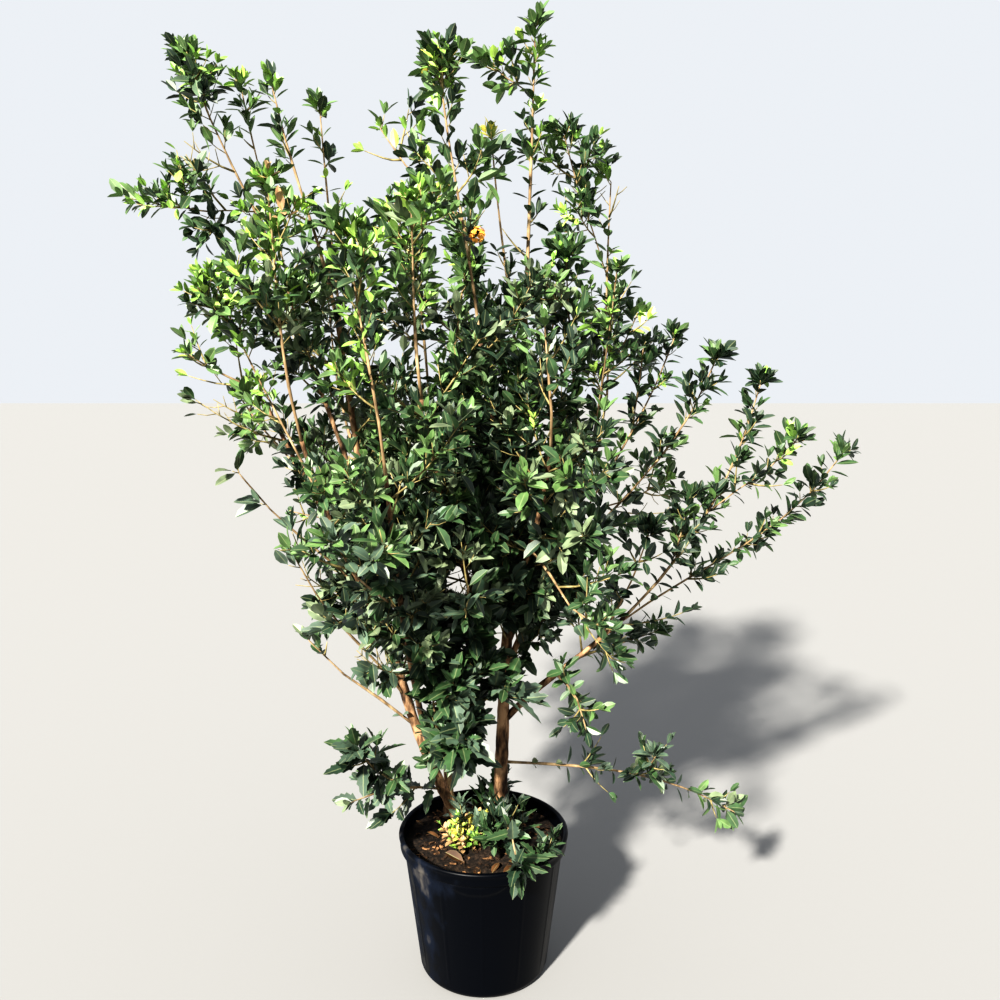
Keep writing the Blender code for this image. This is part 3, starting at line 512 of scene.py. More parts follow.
def side_axis(parent, share, tip, lift, radii, step):
    """A limb that goes on from its parent's tip, or leaves its parent's side from the centre line.

    The radii are the most at its start, and the one at its tip.
    """
    point, way, radius = parent.spot(share)
    if share >= 1.0:
        return grow_axis(point + way * GAP, way, 1.0, tip, lift, (radius, radii[1]), step)
    widths = (min(radius * BOUGH_SHARE, radii[0]), radii[1])
    return grow_axis(point, way, SIDE_FOLLOW, tip, lift, widths, step)


def leaf_scale(spread):
    """Size of a mass's leaves: slender shoots carry smaller ones."""
    return min(1.0, spread / FULL_SPREAD)


def shoot_axis(parent, share, leaf_tip, lift, scale):
    """A foliage shoot, which ends where its last leaves reach a given place."""
    start, _, _ = parent.spot(share)
    chord = (Vector(leaf_tip) - start).normalized()
    tip = Vector(leaf_tip) - (chord + UP * lift).normalized() * (TIP_LEAVES * scale)
    return side_axis(parent, share, tip, lift, (SHOOT_RADIUS, SHOOT_TIP_RADIUS), SHOOT_STEP)


def plan_limbs():
    """Axes of the stems and boughs by name."""
    limbs = {name: stem_axis(*row) for name, row in STEMS.items()}
    for name, (parent, share, tip, lift) in BOUGHS.items():
        limbs[name] = side_axis(limbs[parent], share, Vector(tip), lift, BOUGH_RADII, LIMB_STEP)
    return limbs


def plan_shoots(limbs):
    """For each mass the axes of its stem and forks, the stem first."""
    shoots = {}
    for name, (parent, share, tip, lift, spread, forks) in MASSES.items():
        scale = leaf_scale(spread)
        stem = shoot_axis(limbs[parent], share, tip, lift, scale)
        shoots[name] = [stem]
        for fork_share, fork_tip in forks:
            shoots[name].append(shoot_axis(stem, fork_share, fork_tip, FORK_LIFT, scale))
    return shoots


def segments(axes):
    """Start points, end points and larger radii of all straight stretches of some axes."""
    starts = []
    ends = []
    radii = []
    for axis in axes:
        for k in range(len(axis.points) - 1):
            starts.append(axis.points[k])
            ends.append(axis.points[k + 1])
            radii.append(max(axis.radii[k], axis.radii[k + 1]))
    return np.array(starts), np.array(ends), np.array(radii)


def clearance(points, lines, use_radii):
    """Smallest distance of each point to some stretches, less their radii if asked."""
    starts, ends, radii = lines
    spans = ends - starts
    offsets = points[:, None, :] - starts[None, :, :]
    shares = (offsets * spans).sum(2) / (spans * spans).sum(1)
    nearest = offsets - np.clip(shares, 0.0, 1.0)[:, :, None] * spans
    distances = np.sqrt((nearest * nearest).sum(2))
    if use_radii:
        distances = distances - radii
    return distances.min(1)


class Space:
    """The room of one mass: nearer to its own shoots than to others, and clear of the limbs."""

    def __init__(self, own, others, limbs):
        self.own = segments(own)
        self.others = segments(others)
        self.limbs = segments(limbs)

    def holds(self, points):
        spots = np.array(points)
        own = clearance(spots, self.own, False)
        others = clearance(spots, self.others, False)
        limbs = clearance(spots, self.limbs, True)
        return bool((own + SPACE_MARGIN < others).all() and (limbs > LIMB_MARGIN).all())


def plan_space(name, limbs, shoots):
    """The room of one mass."""
    others = [axis for other, axes in shoots.items() if other != name for axis in axes]
    return Space(shoots[name], others, limbs.values())


def across(way):
    """A unit vector at right angles to a direction."""
    helper = UP if abs(way.z) < 0.9 else Vector((1.0, 0.0, 0.0))
    return way.cross(helper).normalized()


def swing_out(way, swing):
    """A unit vector at right angles to a direction, turned round it."""
    side = across(way)
    return side * math.cos(swing) + way.cross(side) * math.sin(swing)


def make_twig(start, way, out, length, angle=TWIG_ANGLE, lift=TWIG_LIFT):
    """A twig that leaves a shoot at an angle and turns up."""
    leave = way * math.cos(angle) + out * math.sin(angle)
    arrive = (leave + UP * lift).normalized()
    tip = start + leave.lerp(arrive, TWIG_BEND) * length
    return Axis([start, tip], [leave, arrive], [TWIG_RADIUS, TWIG_END_RADIUS])


def reach(twig, scale):
    """Points that a twig and the leaf at its end reach."""
    tip, way, _ = twig.spot(1.0)
    middle = tip + way * (LEAF_LENGTH * LEAF_WIDEST * scale)
    sides = [middle + swing_out(way, k * math.pi / 2) * (LEAF_WIDTH / 2 * scale) for k in range(4)]
    return [twig.spot(0.5)[0], tip, tip + way * (LEAF_LENGTH * scale), *sides]


def grow_twigs(axis, spread, space, chance):
    """The growth rule: opposite pairs of twigs, each pair turned a quarter from the last.

    A twig that would leave its mass's space is shortened, and left out if that isn't enough.
    """
    nodes = max(2, round(axis.length() * (1.0 - FIRST_NODE) / NODE_STEP))
    turn = chance.uniform(0.0, math.pi)
    twigs = []
    for k in range(nodes):
        share = FIRST_NODE + (1.0 - FIRST_NODE) * (k + 0.5) / nodes
        for side in range(2):
            swing = turn + side * math.pi + chance.uniform(-SWING_JITTER, SWING_JITTER)
            length = spread * (1.0 - TWIG_TAPER * share) * chance.uniform(*TWIG_SIZES)
            place = share + chance.uniform(-NODE_JITTER, NODE_JITTER) / nodes
            start, way, _ = axis.spot(min(place, SHOOT_END))
            for cut in TWIG_CUTS:
                twig = make_twig(start, way, swing_out(way, swing), length * cut)
                if space.holds(reach(twig, leaf_scale(spread))):
                    twigs.append(twig)
                    break
        turn += math.pi / 2
    return twigs


def outer_radius(height):
    """Radius of the pot's outer wall below the rim band."""
    top = POT_HEIGHT - BAND_HEIGHT
    return BASE_RADIUS + (BODY_TOP_RADIUS - BASE_RADIUS) * height / top


def round_corner(centre_radius, centre_height, radius, first, last, steps):
    """Points of an arc in the turned profile, angles in degrees from the outward direction."""
    points = []
    for k in range(steps + 1):
        angle = math.radians(first + (last - first) * k / steps)
        points.append((centre_radius + radius * math.cos(angle), centre_height + radius * math.sin(angle)))
    return points


def ring_faces(rows, sides):
    """Triangles and quads of a closed form of rings. Its two end points follow the rings' points."""
    ring = np.arange(sides)
    after = (ring + 1) % sides
    low = sides * np.arange(rows - 1)[:, None]
    quads = np.stack([low + ring, low + after, low + sides + after, low + sides + ring], axis=2)
    top = sides * (rows - 1)
    end = np.full(sides, sides * rows)
    start_cap = np.stack([end, after, ring], axis=1)
    end_cap = np.stack([end + 1, top + ring, top + after], axis=1)
    return np.concatenate([start_cap, end_cap]), quads.reshape(-1, 4)


class Tubes:
    """Closed tubes of one mesh, gathered one by one."""

    def __init__(self):
        self.verts = []
        self.tris = []
        self.quads = []
        self.count = 0

    def add(self, points, radii, sides, swell=None):
        """A tube along some points, its rings widened by a function of ring number and angles."""
        points = np.array(points, dtype=float)
        ways = np.gradient(points, axis=0)
        ways /= np.linalg.norm(ways, axis=1)[:, None]
        side = np.array(across(Vector(ways[0])))
        angles = 2 * math.pi * np.arange(sides) / sides
        rings = []
        for k, (point, way, radius) in enumerate(zip(points, ways, radii)):
            side = side - way * side.dot(way)
            side /= np.linalg.norm(side)
            up = np.cross(way, side)
            outs = np.cos(angles)[:, None] * side + np.sin(angles)[:, None] * up
            widths = np.full(sides, radius) if swell is None else radius * swell(k, angles)
            rings.append(point + outs * widths[:, None])
        tris, quads = ring_faces(len(points), sides)
        self.verts.append(np.concatenate([*rings, points[:1], points[-1:]]))
        self.tris.append(self.count + tris)
        self.quads.append(self.count + quads)
        self.count += sides * len(points) + 2

    def build(self, name, material):
        """One object of all the tubes."""
        verts = np.concatenate(self.verts)
        return mesh_object(name, verts, np.concatenate(self.tris), np.concatenate(self.quads), material)


def mesh_object(name, verts, tris, quads, material):
    """A smooth-shaded mesh object from arrays of points, triangles and quads."""
    mesh = bpy.data.meshes.new(name)
    mesh.vertices.add(len(verts))
    mesh.vertices.foreach_set("co", np.asarray(verts, dtype=np.float32).ravel())
    corners = np.concatenate([np.asarray(tris).ravel(), np.asarray(quads).ravel()]).astype(np.int32)
    starts = np.concatenate([3 * np.arange(len(tris)), 3 * len(tris) + 4 * np.arange(len(quads))])
    mesh.loops.add(len(corners))
    mesh.loops.foreach_set("vertex_index", corners)
    mesh.polygons.add(len(starts))
    mesh.polygons.foreach_set("loop_start", starts.astype(np.int32))
    mesh.update(calc_edges=True)
    mesh.shade_smooth()
    mesh.materials.append(material)
    made = bpy.data.objects.new(name, mesh)
    bpy.context.scene.collection.objects.link(made)
    return made


def leaf_faces(stations):
    """Triangles and quads of one leaf: a base, rows of left, right and midrib points, and a tip."""
    left, right, rib = 1, 2, 3
    tip = 3 * stations + 1
    last = 3 * (stations - 1)
    tris = [(0, right, rib), (0, rib, left)]
    tris += [(last + right, tip, last + rib), (last + rib, tip, last + left)]
    quads = []
    for low in range(0, last, 3):
        high = low + 3
        quads.append((low + right, high + right, high + rib, low + rib))
        quads.append((low + rib, high + rib, high + left, low + left))
    return np.array(tris), np.array(quads)


def build_leaves(name, rows, outline, material):
    """All leaves of one colour. A row is root, direction, face, length, width, fold and curl."""
    rows = np.array(rows)
    root, way, face = rows[:, 0:3], rows[:, 3:6], rows[:, 6:9]
    length, width, fold, curl = (column[:, None] for column in rows[:, 9:13].T)
    way = way / np.linalg.norm(way, axis=1)[:, None]
    side = np.cross(face, way)
    side /= np.linalg.norm(side, axis=1)[:, None]
    face = np.cross(way, side)
    spots = [root]
    for share, breadth in outline:
        centre = root + way * length * share - face * length * curl * share * share
        half = side * width * breadth / 2
        lift = face * fold * width * breadth / 2
        spots += [centre + half + lift, centre - half + lift, centre]
    spots.append(root + way * length - face * length * curl)
    verts = np.stack(spots, axis=1)
    count = verts.shape[1]
    tris, quads = leaf_faces(len(outline))
    starts = (count * np.arange(len(rows)))[:, None, None]
    made = mesh_object(name, verts.reshape(-1, 3), (tris + starts).reshape(-1, 3),
                       (quads + starts).reshape(-1, 4), material)
    mark_ribs(made.data, count)
    return made


def mark_ribs(mesh, count):
    """Marks the midribs of leaves as sharp, and every point by its nearness to the midrib."""
    ends = np.empty(2 * len(mesh.edges), dtype=np.int32)
    mesh.edges.foreach_get("vertices", ends)
    on_rib = (ends % count % 3 == 0) | (ends % count == count - 1)
    sharp = mesh.attributes.new("sharp_edge", "BOOLEAN", "EDGE")
    sharp.data.foreach_set("value", on_rib.reshape(-1, 2).all(axis=1))
    place = np.arange(len(mesh.vertices)) % count
    nearness = (place % 3 == 0) | (place == count - 1)
    rib = mesh.attributes.new("rib", "FLOAT", "POINT")
    rib.data.foreach_set("value", nearness.astype(np.float32))


class Foliage:
    """The leaves and wood of all masses while they grow."""

    def __init__(self):
        self.leaves = {}
        self.wood = Tubes()
        self.twigs = Tubes()
        self.tips = []
        self.chance = random.Random(SEED)

    def spray(self, mass, place, youth):
        """The colour of the leaves of one spray: youth is 1 at a shoot's tip and 0 at its foot."""
        for spot, near, colour in ACCENTS:
            if (Vector(spot) - place).length < near:
                return colour
        old, new = BLENDS[LOOKS[mass][0]]
        blend = new if self.chance.random() < youth else old
        return self.chance.choices(list(blend), weights=list(blend.values()))[0]

    def leaf_style(self, mass, place, youth):
        """Kind, sizes and colour of a spray's leaves."""
        colour = self.spray(mass, place, youth)
        if mass in TOOTHED_MASSES and self.chance.random() < TOOTHED_SHARE:
            return "toothed", TOOTHED_SIZES, colour
        if colour in YOUNG_COLOURS:
            return "plain", YOUNG_SIZES, colour
        if LOOKS[mass][0] in LARGE_LEAVED:
            return "plain", LARGE_SIZES, colour
        return "plain", LEAF_SIZES, colour

    def hang(self, kind, colour, root, way, face, length):
        """One leaf, unless its middle lies in a gap of the crown."""
        if in_gap(root + way * length * LEAF_MIDDLE):
            return
        ratio = self.chance.uniform(*LEAF_RATIO)
        fold = self.chance.uniform(*LEAF_FOLDS)
        curl = self.chance.uniform(*LEAF_CURLS)
        row = (*root, *way, *face, length, length * ratio, fold, curl)
        self.leaves.setdefault((kind, colour), []).append(row)

    def hang_pair(self, style, spot, way, turn, angle, length):
        """Two opposite leaves at one place of a twig."""
        for n in range(2):
            out = swing_out(way, turn + n * math.pi + self.chance.uniform(-LEAF_SWING, LEAF_SWING))
            lean = angle + self.chance.uniform(-LEAF_LEAN, LEAF_LEAN)
            leaf = way * math.cos(lean) + out * math.sin(lean)
            face = way * math.sin(lean) - out * math.cos(lean)
            along, up, aside = LEAF_FACING
            face = face * along + UP * up + across(way) * self.chance.uniform(-aside, aside)
            root = spot + leaf * PETIOLE * PETIOLE_SHARE
            size = length * self.chance.uniform(*LEAF_SIZE_SPREAD)
            self.hang(style[0], style[2], root, leaf, face, size)

    def leaf_run(self, axis, first, style, step, fullness=1.0):
        """Opposite pairs of leaves along a twig, and a cluster at its tip."""
        pairs = max(1, round(axis.length() * (1.0 - first) / step))
        turn = self.chance.uniform(0.0, math.pi)
        size = self.chance.uniform(*style[1])
        for k in range(pairs):
            turn += math.pi / 2
            if self.chance.random() > fullness:
                continue
            spot, way, _ = axis.spot(first + (1.0 - first) * k / pairs)
            self.hang_pair(style, spot, way, turn, self.chance.uniform(*PAIR_ANGLES), size)
        self.cluster(axis, style, turn, size)

    def cluster(self, axis, style, turn, size):
        """The last two pairs of leaves at the tip of a twig."""
        spot, way, _ = axis.spot(1.0)
        angle = self.chance.uniform(*CLUSTER_ANGLES)
        outer, inner = CLUSTER_SIZES
        self.hang_pair(style, spot, way, turn, angle, size * outer)
        self.hang_pair(style, spot, way, turn + math.pi / 2, angle * CLUSTER_INNER_ANGLE, size * inner)

    def sprig(self, mass, spot, way, out, length, youth):
        """A short side twig with leaves."""
        line = make_twig(spot, way, out, length, SPRIG_ANGLE, self.chance.uniform(*SPRIG_LIFTS))
        tip, arrive = line.points[1], line.ways[1]
        points, ways = curve(spot, line.ways[0], arrive, tip, 2)
        radii = [SPRIG_RADIUS, (SPRIG_RADIUS + SPRIG_END_RADIUS) / 2, SPRIG_END_RADIUS]
        self.twigs.add(points, radii, 3)
        self.tips.append((tip, arrive))
        style = self.leaf_style(mass, tip, youth)
        self.leaf_run(Axis(points, ways, radii), LEAF_FIRSTS["sprig"], style, PAIR_STEP)

    def sprigs_along(self, mass, axis, first, step, spread, youths, profile):
        """Side twigs along a shoot or a twig, in opposite pairs."""
        most = max(1.0, *profile)
        pairs = max(1, round(axis.length() * (1.0 - first) / step * most))
        turn = self.chance.uniform(0.0, math.pi)
        for k in range(pairs):
            share = first + (1.0 - first) * (k + 0.5) / pairs
            youth = youths[0] + (youths[1] - youths[0]) * share ** 2
            for n in range(2):
                if self.chance.random() > fullness_at(profile, share) / most:
                    continue
                spot, way, _ = axis.spot(share + self.chance.uniform(-SPRIG_JITTER, SPRIG_JITTER) / pairs)
                swing = turn + n * math.pi + self.chance.uniform(-SPRIG_JITTER, SPRIG_JITTER)
                out = swing_out(way, swing)
                shortening = SPRIG_SHORTENING[0] - SPRIG_SHORTENING[1] * share
                length = self.chance.uniform(*SPRIG_LENGTHS) * spread * shortening
                self.sprig(mass, spot, way, out, length, youth)
            turn += math.pi / 2

    def grow_twig(self, mass, twig, youth, fullness):
        """A twig of the solids with its own sprigs and leaves."""
        if self.chance.random() > 2 * fullness:
            return
        slender = LOOKS[mass][1] == "slender"
        start, leave, radius = twig.spot(0.0)
        tip, arrive, _ = twig.spot(1.0)
        far = tip + arrive * (SLENDER_REACH if slender else TIP_REACH)
        points, ways = curve(start, leave, arrive, far, 4)
        radii = [radius + (SPRIG_END_RADIUS - radius) * k / 4 for k in range(5)]
        axis = Axis(points, ways, radii)
        self.twigs.add(points, radii, 4)
        style = self.leaf_style(mass, far, youth)
        if slender:
            self.leaf_run(axis, LEAF_FIRSTS["slender twig"], style, PAIR_STEP, fullness)
            return
        youths = (youth * 0.5, youth)
        self.sprigs_along(mass, axis, TWIG_SPRIG_FIRST, SPRIG_STEP, 1.0, youths, (fullness, fullness))
        self.leaf_run(axis, LEAF_FIRSTS["twig"], style, PAIR_STEP, fullness)

    def grow_shoot(self, mass, axis, profile):
        """A mass's stem or fork with its tip, sprigs and leaves."""
        tip, way, _ = axis.spot(1.0)
        longer = Axis([*axis.points, tip + way * SLENDER_REACH], [*axis.ways, way],
                      [*axis.radii, SPRIG_END_RADIUS])
        steps = max(6, round(longer.length() / SHOOT_DRAWN_STEP))
        spots = [longer.spot(k / steps) for k in range(steps + 1)]
        radii = [max(SPRIG_END_RADIUS, s[2] * SHOOT_THICKNESS) for s in spots]
        self.wood.add([s[0] for s in spots], radii, 8, knots(self.chance))
        if LOOKS[mass][1] == "slender":
            self.grow_slender(mass, longer, profile)
            return
        self.sprigs_along(mass, longer, SHOOT_SPRIG_FIRST, SHOOT_SPRIG_STEP, SHOOT_SPRIG_SPREAD,
                          (0.0, 1.0), profile)
        style = self.leaf_style(mass, longer.points[-1], 1.0)
        self.leaf_run(longer, LEAF_FIRSTS["shoot"], style, SHOOT_PAIR_STEP)

    def grow_slender(self, mass, axis, profile):
        """Pairs of leaves all along a slender shoot, with short sprigs between them."""
        self.sprigs_along(mass, axis, SLENDER_SPRIG_FIRST, SLENDER_SPRIG_STEP, SLENDER_SPRIGS,
                          (0.0, 1.0), profile)
        pairs = max(2, round(axis.length() * (1.0 - SLENDER_FIRST) / SLENDER_PAIR_STEP))
        turn = self.chance.uniform(0.0, math.pi)
        for k in range(pairs):
            share = SLENDER_FIRST + (1.0 - SLENDER_FIRST) * k / pairs
            turn += math.pi / 2
            if self.chance.random() > 1.5 * fullness_at(profile, share):
                continue
            spot, way, _ = axis.spot(share)
            style = self.leaf_style(mass, spot, share ** 3)
            size = self.chance.uniform(*style[1]) * (FOOT_SIZE + (1.0 - FOOT_SIZE) * share)
            angle = self.chance.uniform(*PAIR_ANGLES) + SLENDER_SPREAD * (1.0 - share)
            self.hang_pair(style, spot, way, turn, angle, size)
        style = self.leaf_style(mass, axis.points[-1], 1.0)
        self.cluster(axis, style, turn, self.chance.uniform(*style[1]))


def sight(place):
    """Where the line of sight to a place crosses the upright plane at GAP_DEPTH."""
    eye = Vector(CAMERA_PLACE)
    return eye + (place - eye) * (GAP_DEPTH - eye.y) / (place.y - eye.y)


def in_gap(place):
    """True where the crown is kept open."""
    spot = sight(place)
    return any(math.hypot(spot.x - x, spot.z - z) < radius for x, z, radius in GAPS)


def blossom_rank(tip):
    """How far a sprig's tip is from the blossom's place, as seen from the front."""
    spot = sight(tip[0])
    aside = math.hypot(spot.x - BLOSSOM_PLACE[0], spot.z - BLOSSOM_PLACE[1])
    return aside + BLOSSOM_DEPTH_WEIGHT * tip[0].y


def fullness_at(profile, share):
    """A fullness between the values of a profile, which are spaced evenly from foot to tip."""
    place = min(max(share, 0.0), 1.0) * (len(profile) - 1)
    low = min(int(place), len(profile) - 2)
    return profile[low] + (profile[low + 1] - profile[low]) * (place - low)


def knots(chance):
    """Swelling of a shoot at its nodes and round its section."""
    phase = chance.uniform(0.0, 6.0)

    def swell(ring, angles):
        oval = OVAL_DEPTH * np.sin(2 * angles + ring * OVAL_TURN + phase)
        return 1.0 + oval + NODE_SWELLING * (ring % 3 == 0)
    return swell


def bark_wave(angle, height, layer, phase):
    """Height of one layer of the bark's relief."""
    width, pace, _ = layer
    place = Vector((math.cos(angle) * width, math.sin(angle) * width, height * pace + phase))
    return noise.noise(place)


def bark_swell(axis, steps, phase):
    """Relief of the bark on a limb: long ridges, fine cracks and a few knots."""
    def swell(ring, angles):
        height = ring * axis.length() / steps
        values = []
        for angle in angles:
            ridge = BARK_RIDGES[2] * bark_wave(angle, height, BARK_RIDGES, phase)
            crack = BARK_CRACKS[2] * bark_wave(angle, height, BARK_CRACKS, phase)
            knot = max(0.0, bark_wave(angle, height, BARK_KNOTS, -phase) - KNOT_THRESHOLD)
            values.append(1.0 + ridge + crack + BARK_KNOTS[2] * knot)
        return np.array(values)
    return swell


def build_bark(limbs, material):
    """The stems and boughs in one piece."""
    bark = Tubes()
    for number, axis in enumerate(limbs.values()):
        steps = max(12, round(axis.length() / BARK_STEP))
        spots = [axis.spot(k / steps) for k in range(steps + 1)]
        swell = bark_swell(axis, steps, number * LIMB_PHASE)
        bark.add([s[0] for s in spots], [s[2] for s in spots], BARK_SIDES, swell)
    return bark.build("bark_limbs", material)


def surface(name, roughness, specular=0.5):
    """A material with its node tree and shader."""
    material = bpy.data.materials.new(name)
    material.use_nodes = True
    shader = material.node_tree.nodes["Principled BSDF"]
    shader.inputs["Roughness"].default_value = roughness
    shader.inputs["Specular IOR Level"].default_value = specular
    shader.inputs["Metallic"].default_value = 0.0
    return material, material.node_tree, shader


def noise_node(tree, scale, detail, stretch=(1.0, 1.0, 1.0)):
    """A noise over the object's own coordinates, stretched along an axis if asked."""
    coords = tree.nodes.new("ShaderNodeTexCoord")
    mapping = tree.nodes.new("ShaderNodeMapping")
    mapping.inputs["Scale"].default_value = stretch
    texture = tree.nodes.new("ShaderNodeTexNoise")
    texture.inputs["Scale"].default_value = scale
    texture.inputs["Detail"].default_value = detail
    tree.links.new(coords.outputs["Object"], mapping.inputs["Vector"])
    tree.links.new(mapping.outputs["Vector"], texture.inputs["Vector"])
    return texture


def ramp_node(tree, source, stops):
    """A colour ramp on a texture's factor: stops are (place, colour)."""
    ramp = tree.nodes.new("ShaderNodeValToRGB")
    while len(ramp.color_ramp.elements) < len(stops):
        ramp.color_ramp.elements.new(0.5)
    for element, (place, colour) in zip(ramp.color_ramp.elements, stops):
        element.position = place
        element.color = (*colour, 1.0)
    tree.links.new(source, ramp.inputs["Fac"])
    return ramp


def add_bump(tree, shader, texture, strength, distance):
    """Bumps from a texture."""
    bump = tree.nodes.new("ShaderNodeBump")
    bump.inputs["Strength"].default_value = strength
    bump.inputs["Distance"].default_value = distance
    tree.links.new(texture.outputs["Fac"], bump.inputs["Height"])
    tree.links.new(bump.outputs["Normal"], shader.inputs["Normal"])


def tint(colour, factor):
    """A colour made lighter or darker."""
    return tuple(min(1.0, c * factor) for c in colour)


def leaf_material(name, colour, specular=LEAF_SPECULAR):
    """Leathery leaf of one base colour, lighter and darker from leaf to leaf, with a pale midrib that is
    partly painted highlight, and a painted highlight along the margin.
    """
    material, tree, shader = surface("leaf_" + name, LEAF_ROUGHNESS, specular)
    patches = noise_node(tree, LEAF_PATCHES, 1.0)
    stops = [(place, tint(colour, factor)) for place, factor in LEAF_STOPS]
    ramp = ramp_node(tree, patches.outputs["Fac"], stops)
    # Painted highlight along the midrib and the margin; the midrib is partly paler in itself
    rib = tree.nodes.new("ShaderNodeAttribute")
    rib.attribute_name = "rib"
    lines = ramp_node(tree, rib.outputs["Fac"], RIB_AND_MARGIN_HIGHLIGHT_STOPS)
    blend = tree.nodes.new("ShaderNodeMixRGB")
    pale_rib_and_highlight = [(1.0 - RIB_AND_MARGIN_HIGHLIGHT_PALENESS) * c + RIB_AND_MARGIN_HIGHLIGHT_PALENESS * p for c, p in zip(colour, PALE_RIB_AND_MARGIN_HIGHLIGHT_COLOUR)]
    blend.inputs["Color2"].default_value = (*pale_rib_and_highlight, 1.0)
    tree.links.new(lines.outputs["Color"], blend.inputs["Fac"])
    tree.links.new(ramp.outputs["Color"], blend.inputs["Color1"])
    tree.links.new(blend.outputs["Color"], shader.inputs["Base Color"])
    scale, strength, depth = LEAF_GRAIN
    add_bump(tree, shader, noise_node(tree, scale, 2.0), strength, depth)
    return material


def wood_material(name, stops, scale, stretch, bump):
    """Bark, compost or chips: a ramp of colours over a grain, with bumps of a finer grain."""
    material, tree, shader = surface(name, WOOD_ROUGHNESS, WOOD_SPECULAR)
    grain = noise_node(tree, scale, 6.0, stretch)
    ramp = ramp_node(tree, grain.outputs["Fac"], stops)
    tree.links.new(ramp.outputs["Color"], shader.inputs["Base Color"])
    add_bump(tree, shader, noise_node(tree, scale * 3.0, 8.0, stretch), bump, WOOD_BUMP)
    return material


def pot_material():
    """Black moulded plastic, with smears of grey dust and painted patches of sunlight on its left side."""
    material, tree, shader = surface("pot_plastic", 0.45, PLASTIC_SPECULAR)
    smears = noise_node(tree, SMEAR_SCALE, 10.0, SMEAR_STRETCH)
    coords = tree.nodes.new("ShaderNodeTexCoord")
    split = tree.nodes.new("ShaderNodeSeparateXYZ")
    tree.links.new(coords.outputs["Object"], split.inputs["Vector"])
    side = tree.nodes.new("ShaderNodeMapRange")
    side.inputs["From Min"].default_value = DUST_AND_SUN_PATCH_SIDES[0]
    side.inputs["From Max"].default_value = DUST_AND_SUN_PATCH_SIDES[1]
    tree.links.new(split.outputs["X"], side.inputs["Value"])
    # Painted sun patches and real dust: the smears, kept to the pot's lit left side
    dust_and_sun_patches = tree.nodes.new("ShaderNodeMath")
    dust_and_sun_patches.operation = "MULTIPLY"
    tree.links.new(smears.outputs["Fac"], dust_and_sun_patches.inputs[0])
    tree.links.new(side.outputs["Result"], dust_and_sun_patches.inputs[1])
    colours = (PLASTIC_COLOUR, tint(PLASTIC_COLOUR, 5.0), DUST_AND_SUN_PATCH_COLOUR)
    ramp = ramp_node(tree, dust_and_sun_patches.outputs["Value"], tuple(zip(SMEAR_PLACES, colours)))
    tree.links.new(ramp.outputs["Color"], shader.inputs["Base Color"])
    rough = ramp_node(tree, dust_and_sun_patches.outputs["Value"], DUST_AND_SUN_PATCH_ROUGHNESS)
    tree.links.new(rough.outputs["Color"], shader.inputs["Roughness"])
    scale, strength, depth = PLASTIC_GRAIN
    add_bump(tree, shader, noise_node(tree, scale, 5.0), strength, depth)
    return material


def lathe_arrays(profile, sides, shape=None):
    """Points and faces of a turned closed form, its rings shaped by a function of angle and height."""
    angles = 2 * math.pi * np.arange(sides) / sides
    rings = []
    for radius, height in profile[1:-1]:
        widths = np.full(sides, radius) if shape is None else shape(radius, height, angles)
        heights = np.full(sides, height)
        rings.append(np.stack([widths * np.cos(angles), widths * np.sin(angles), heights], axis=1))
    poles = np.array([(0.0, 0.0, profile[0][1]), (0.0, 0.0, profile[-1][1])])
    return np.concatenate([*rings, poles]), *ring_faces(len(rings), sides)


def rise(profile, low, high, steps):
    """Points up a slanted wall between two (radius, height) points, with both ends."""
    for k in range(steps + 1):
        t = k / steps
        profile.append((low[0] + (high[0] - low[0]) * t, low[1] + (high[1] - low[1]) * t))


def pot_relief(radius, height, angles):
    """Ribs down the wall, and a grip under the rim on two sides."""
    widths = np.full(len(angles), radius)
    if radius < outer_radius(height) - 0.001 or height > POT_HEIGHT - BAND_HEIGHT - 0.001:
        return widths
    ribs = np.cos(angles * POT_RIBS / 2) ** 2
    fade = min(1.0, (height - 0.02) / 0.03) if height > 0.02 else 0.0
    widths += RIB_DEPTH * fade * np.clip((ribs - 0.985) / 0.015, 0.0, 1.0)
    for middle in GRIP_ANGLES:
        off = np.abs((angles - middle + math.pi) % (2 * math.pi) - math.pi)
        depth = GRIP_HEIGHT * np.sqrt(np.clip(1.0 - (off / GRIP_HALF_ANGLE) ** 2, 0.0, 1.0))
        below = POT_HEIGHT - BAND_HEIGHT - height
        widths += GRIP_DEPTH * np.clip((depth - below) / 0.004, 0.0, 1.0)
    return widths


def build_pot(material):
    """The pot: rounded foot, ribbed wall, rim band, rolled lip and the inside down to its floor."""
    band_low = POT_HEIGHT - BAND_HEIGHT
    corner = outer_radius(BASE_ROUNDING) - BASE_ROUNDING
    profile = [(0.0, 0.0)]
    profile += round_corner(corner, BASE_ROUNDING, BASE_ROUNDING, -90, 0, 8)
    rise(profile, (outer_radius(0.024), 0.024), (BODY_TOP_RADIUS, band_low - 0.0005), 60)
    rise(profile, (BAND_RADIUS - 0.0008, band_low), (BAND_RADIUS, band_low + 0.001), 1)
    rise(profile, (BAND_RADIUS, band_low + 0.006), (BAND_RADIUS, POT_HEIGHT - 0.013), 2)
    profile += round_corner(RIM_RADIUS - LIP_RADIUS, POT_HEIGHT - LIP_RADIUS, LIP_RADIUS, -20, 200, 12)
    rise(profile, (BODY_TOP_RADIUS - WALL, band_low), (BASE_RADIUS - WALL, 0.03), 6)
    profile += [(BASE_RADIUS - 0.02, FLOOR), (0.0, FLOOR)]
    verts, tris, quads = lathe_arrays(profile, POT_SIDES, pot_relief)
    pot = mesh_object("nursery_pot", verts, tris, quads, material)
    pot.data.set_sharp_from_angle(angle=math.radians(50))
    return pot


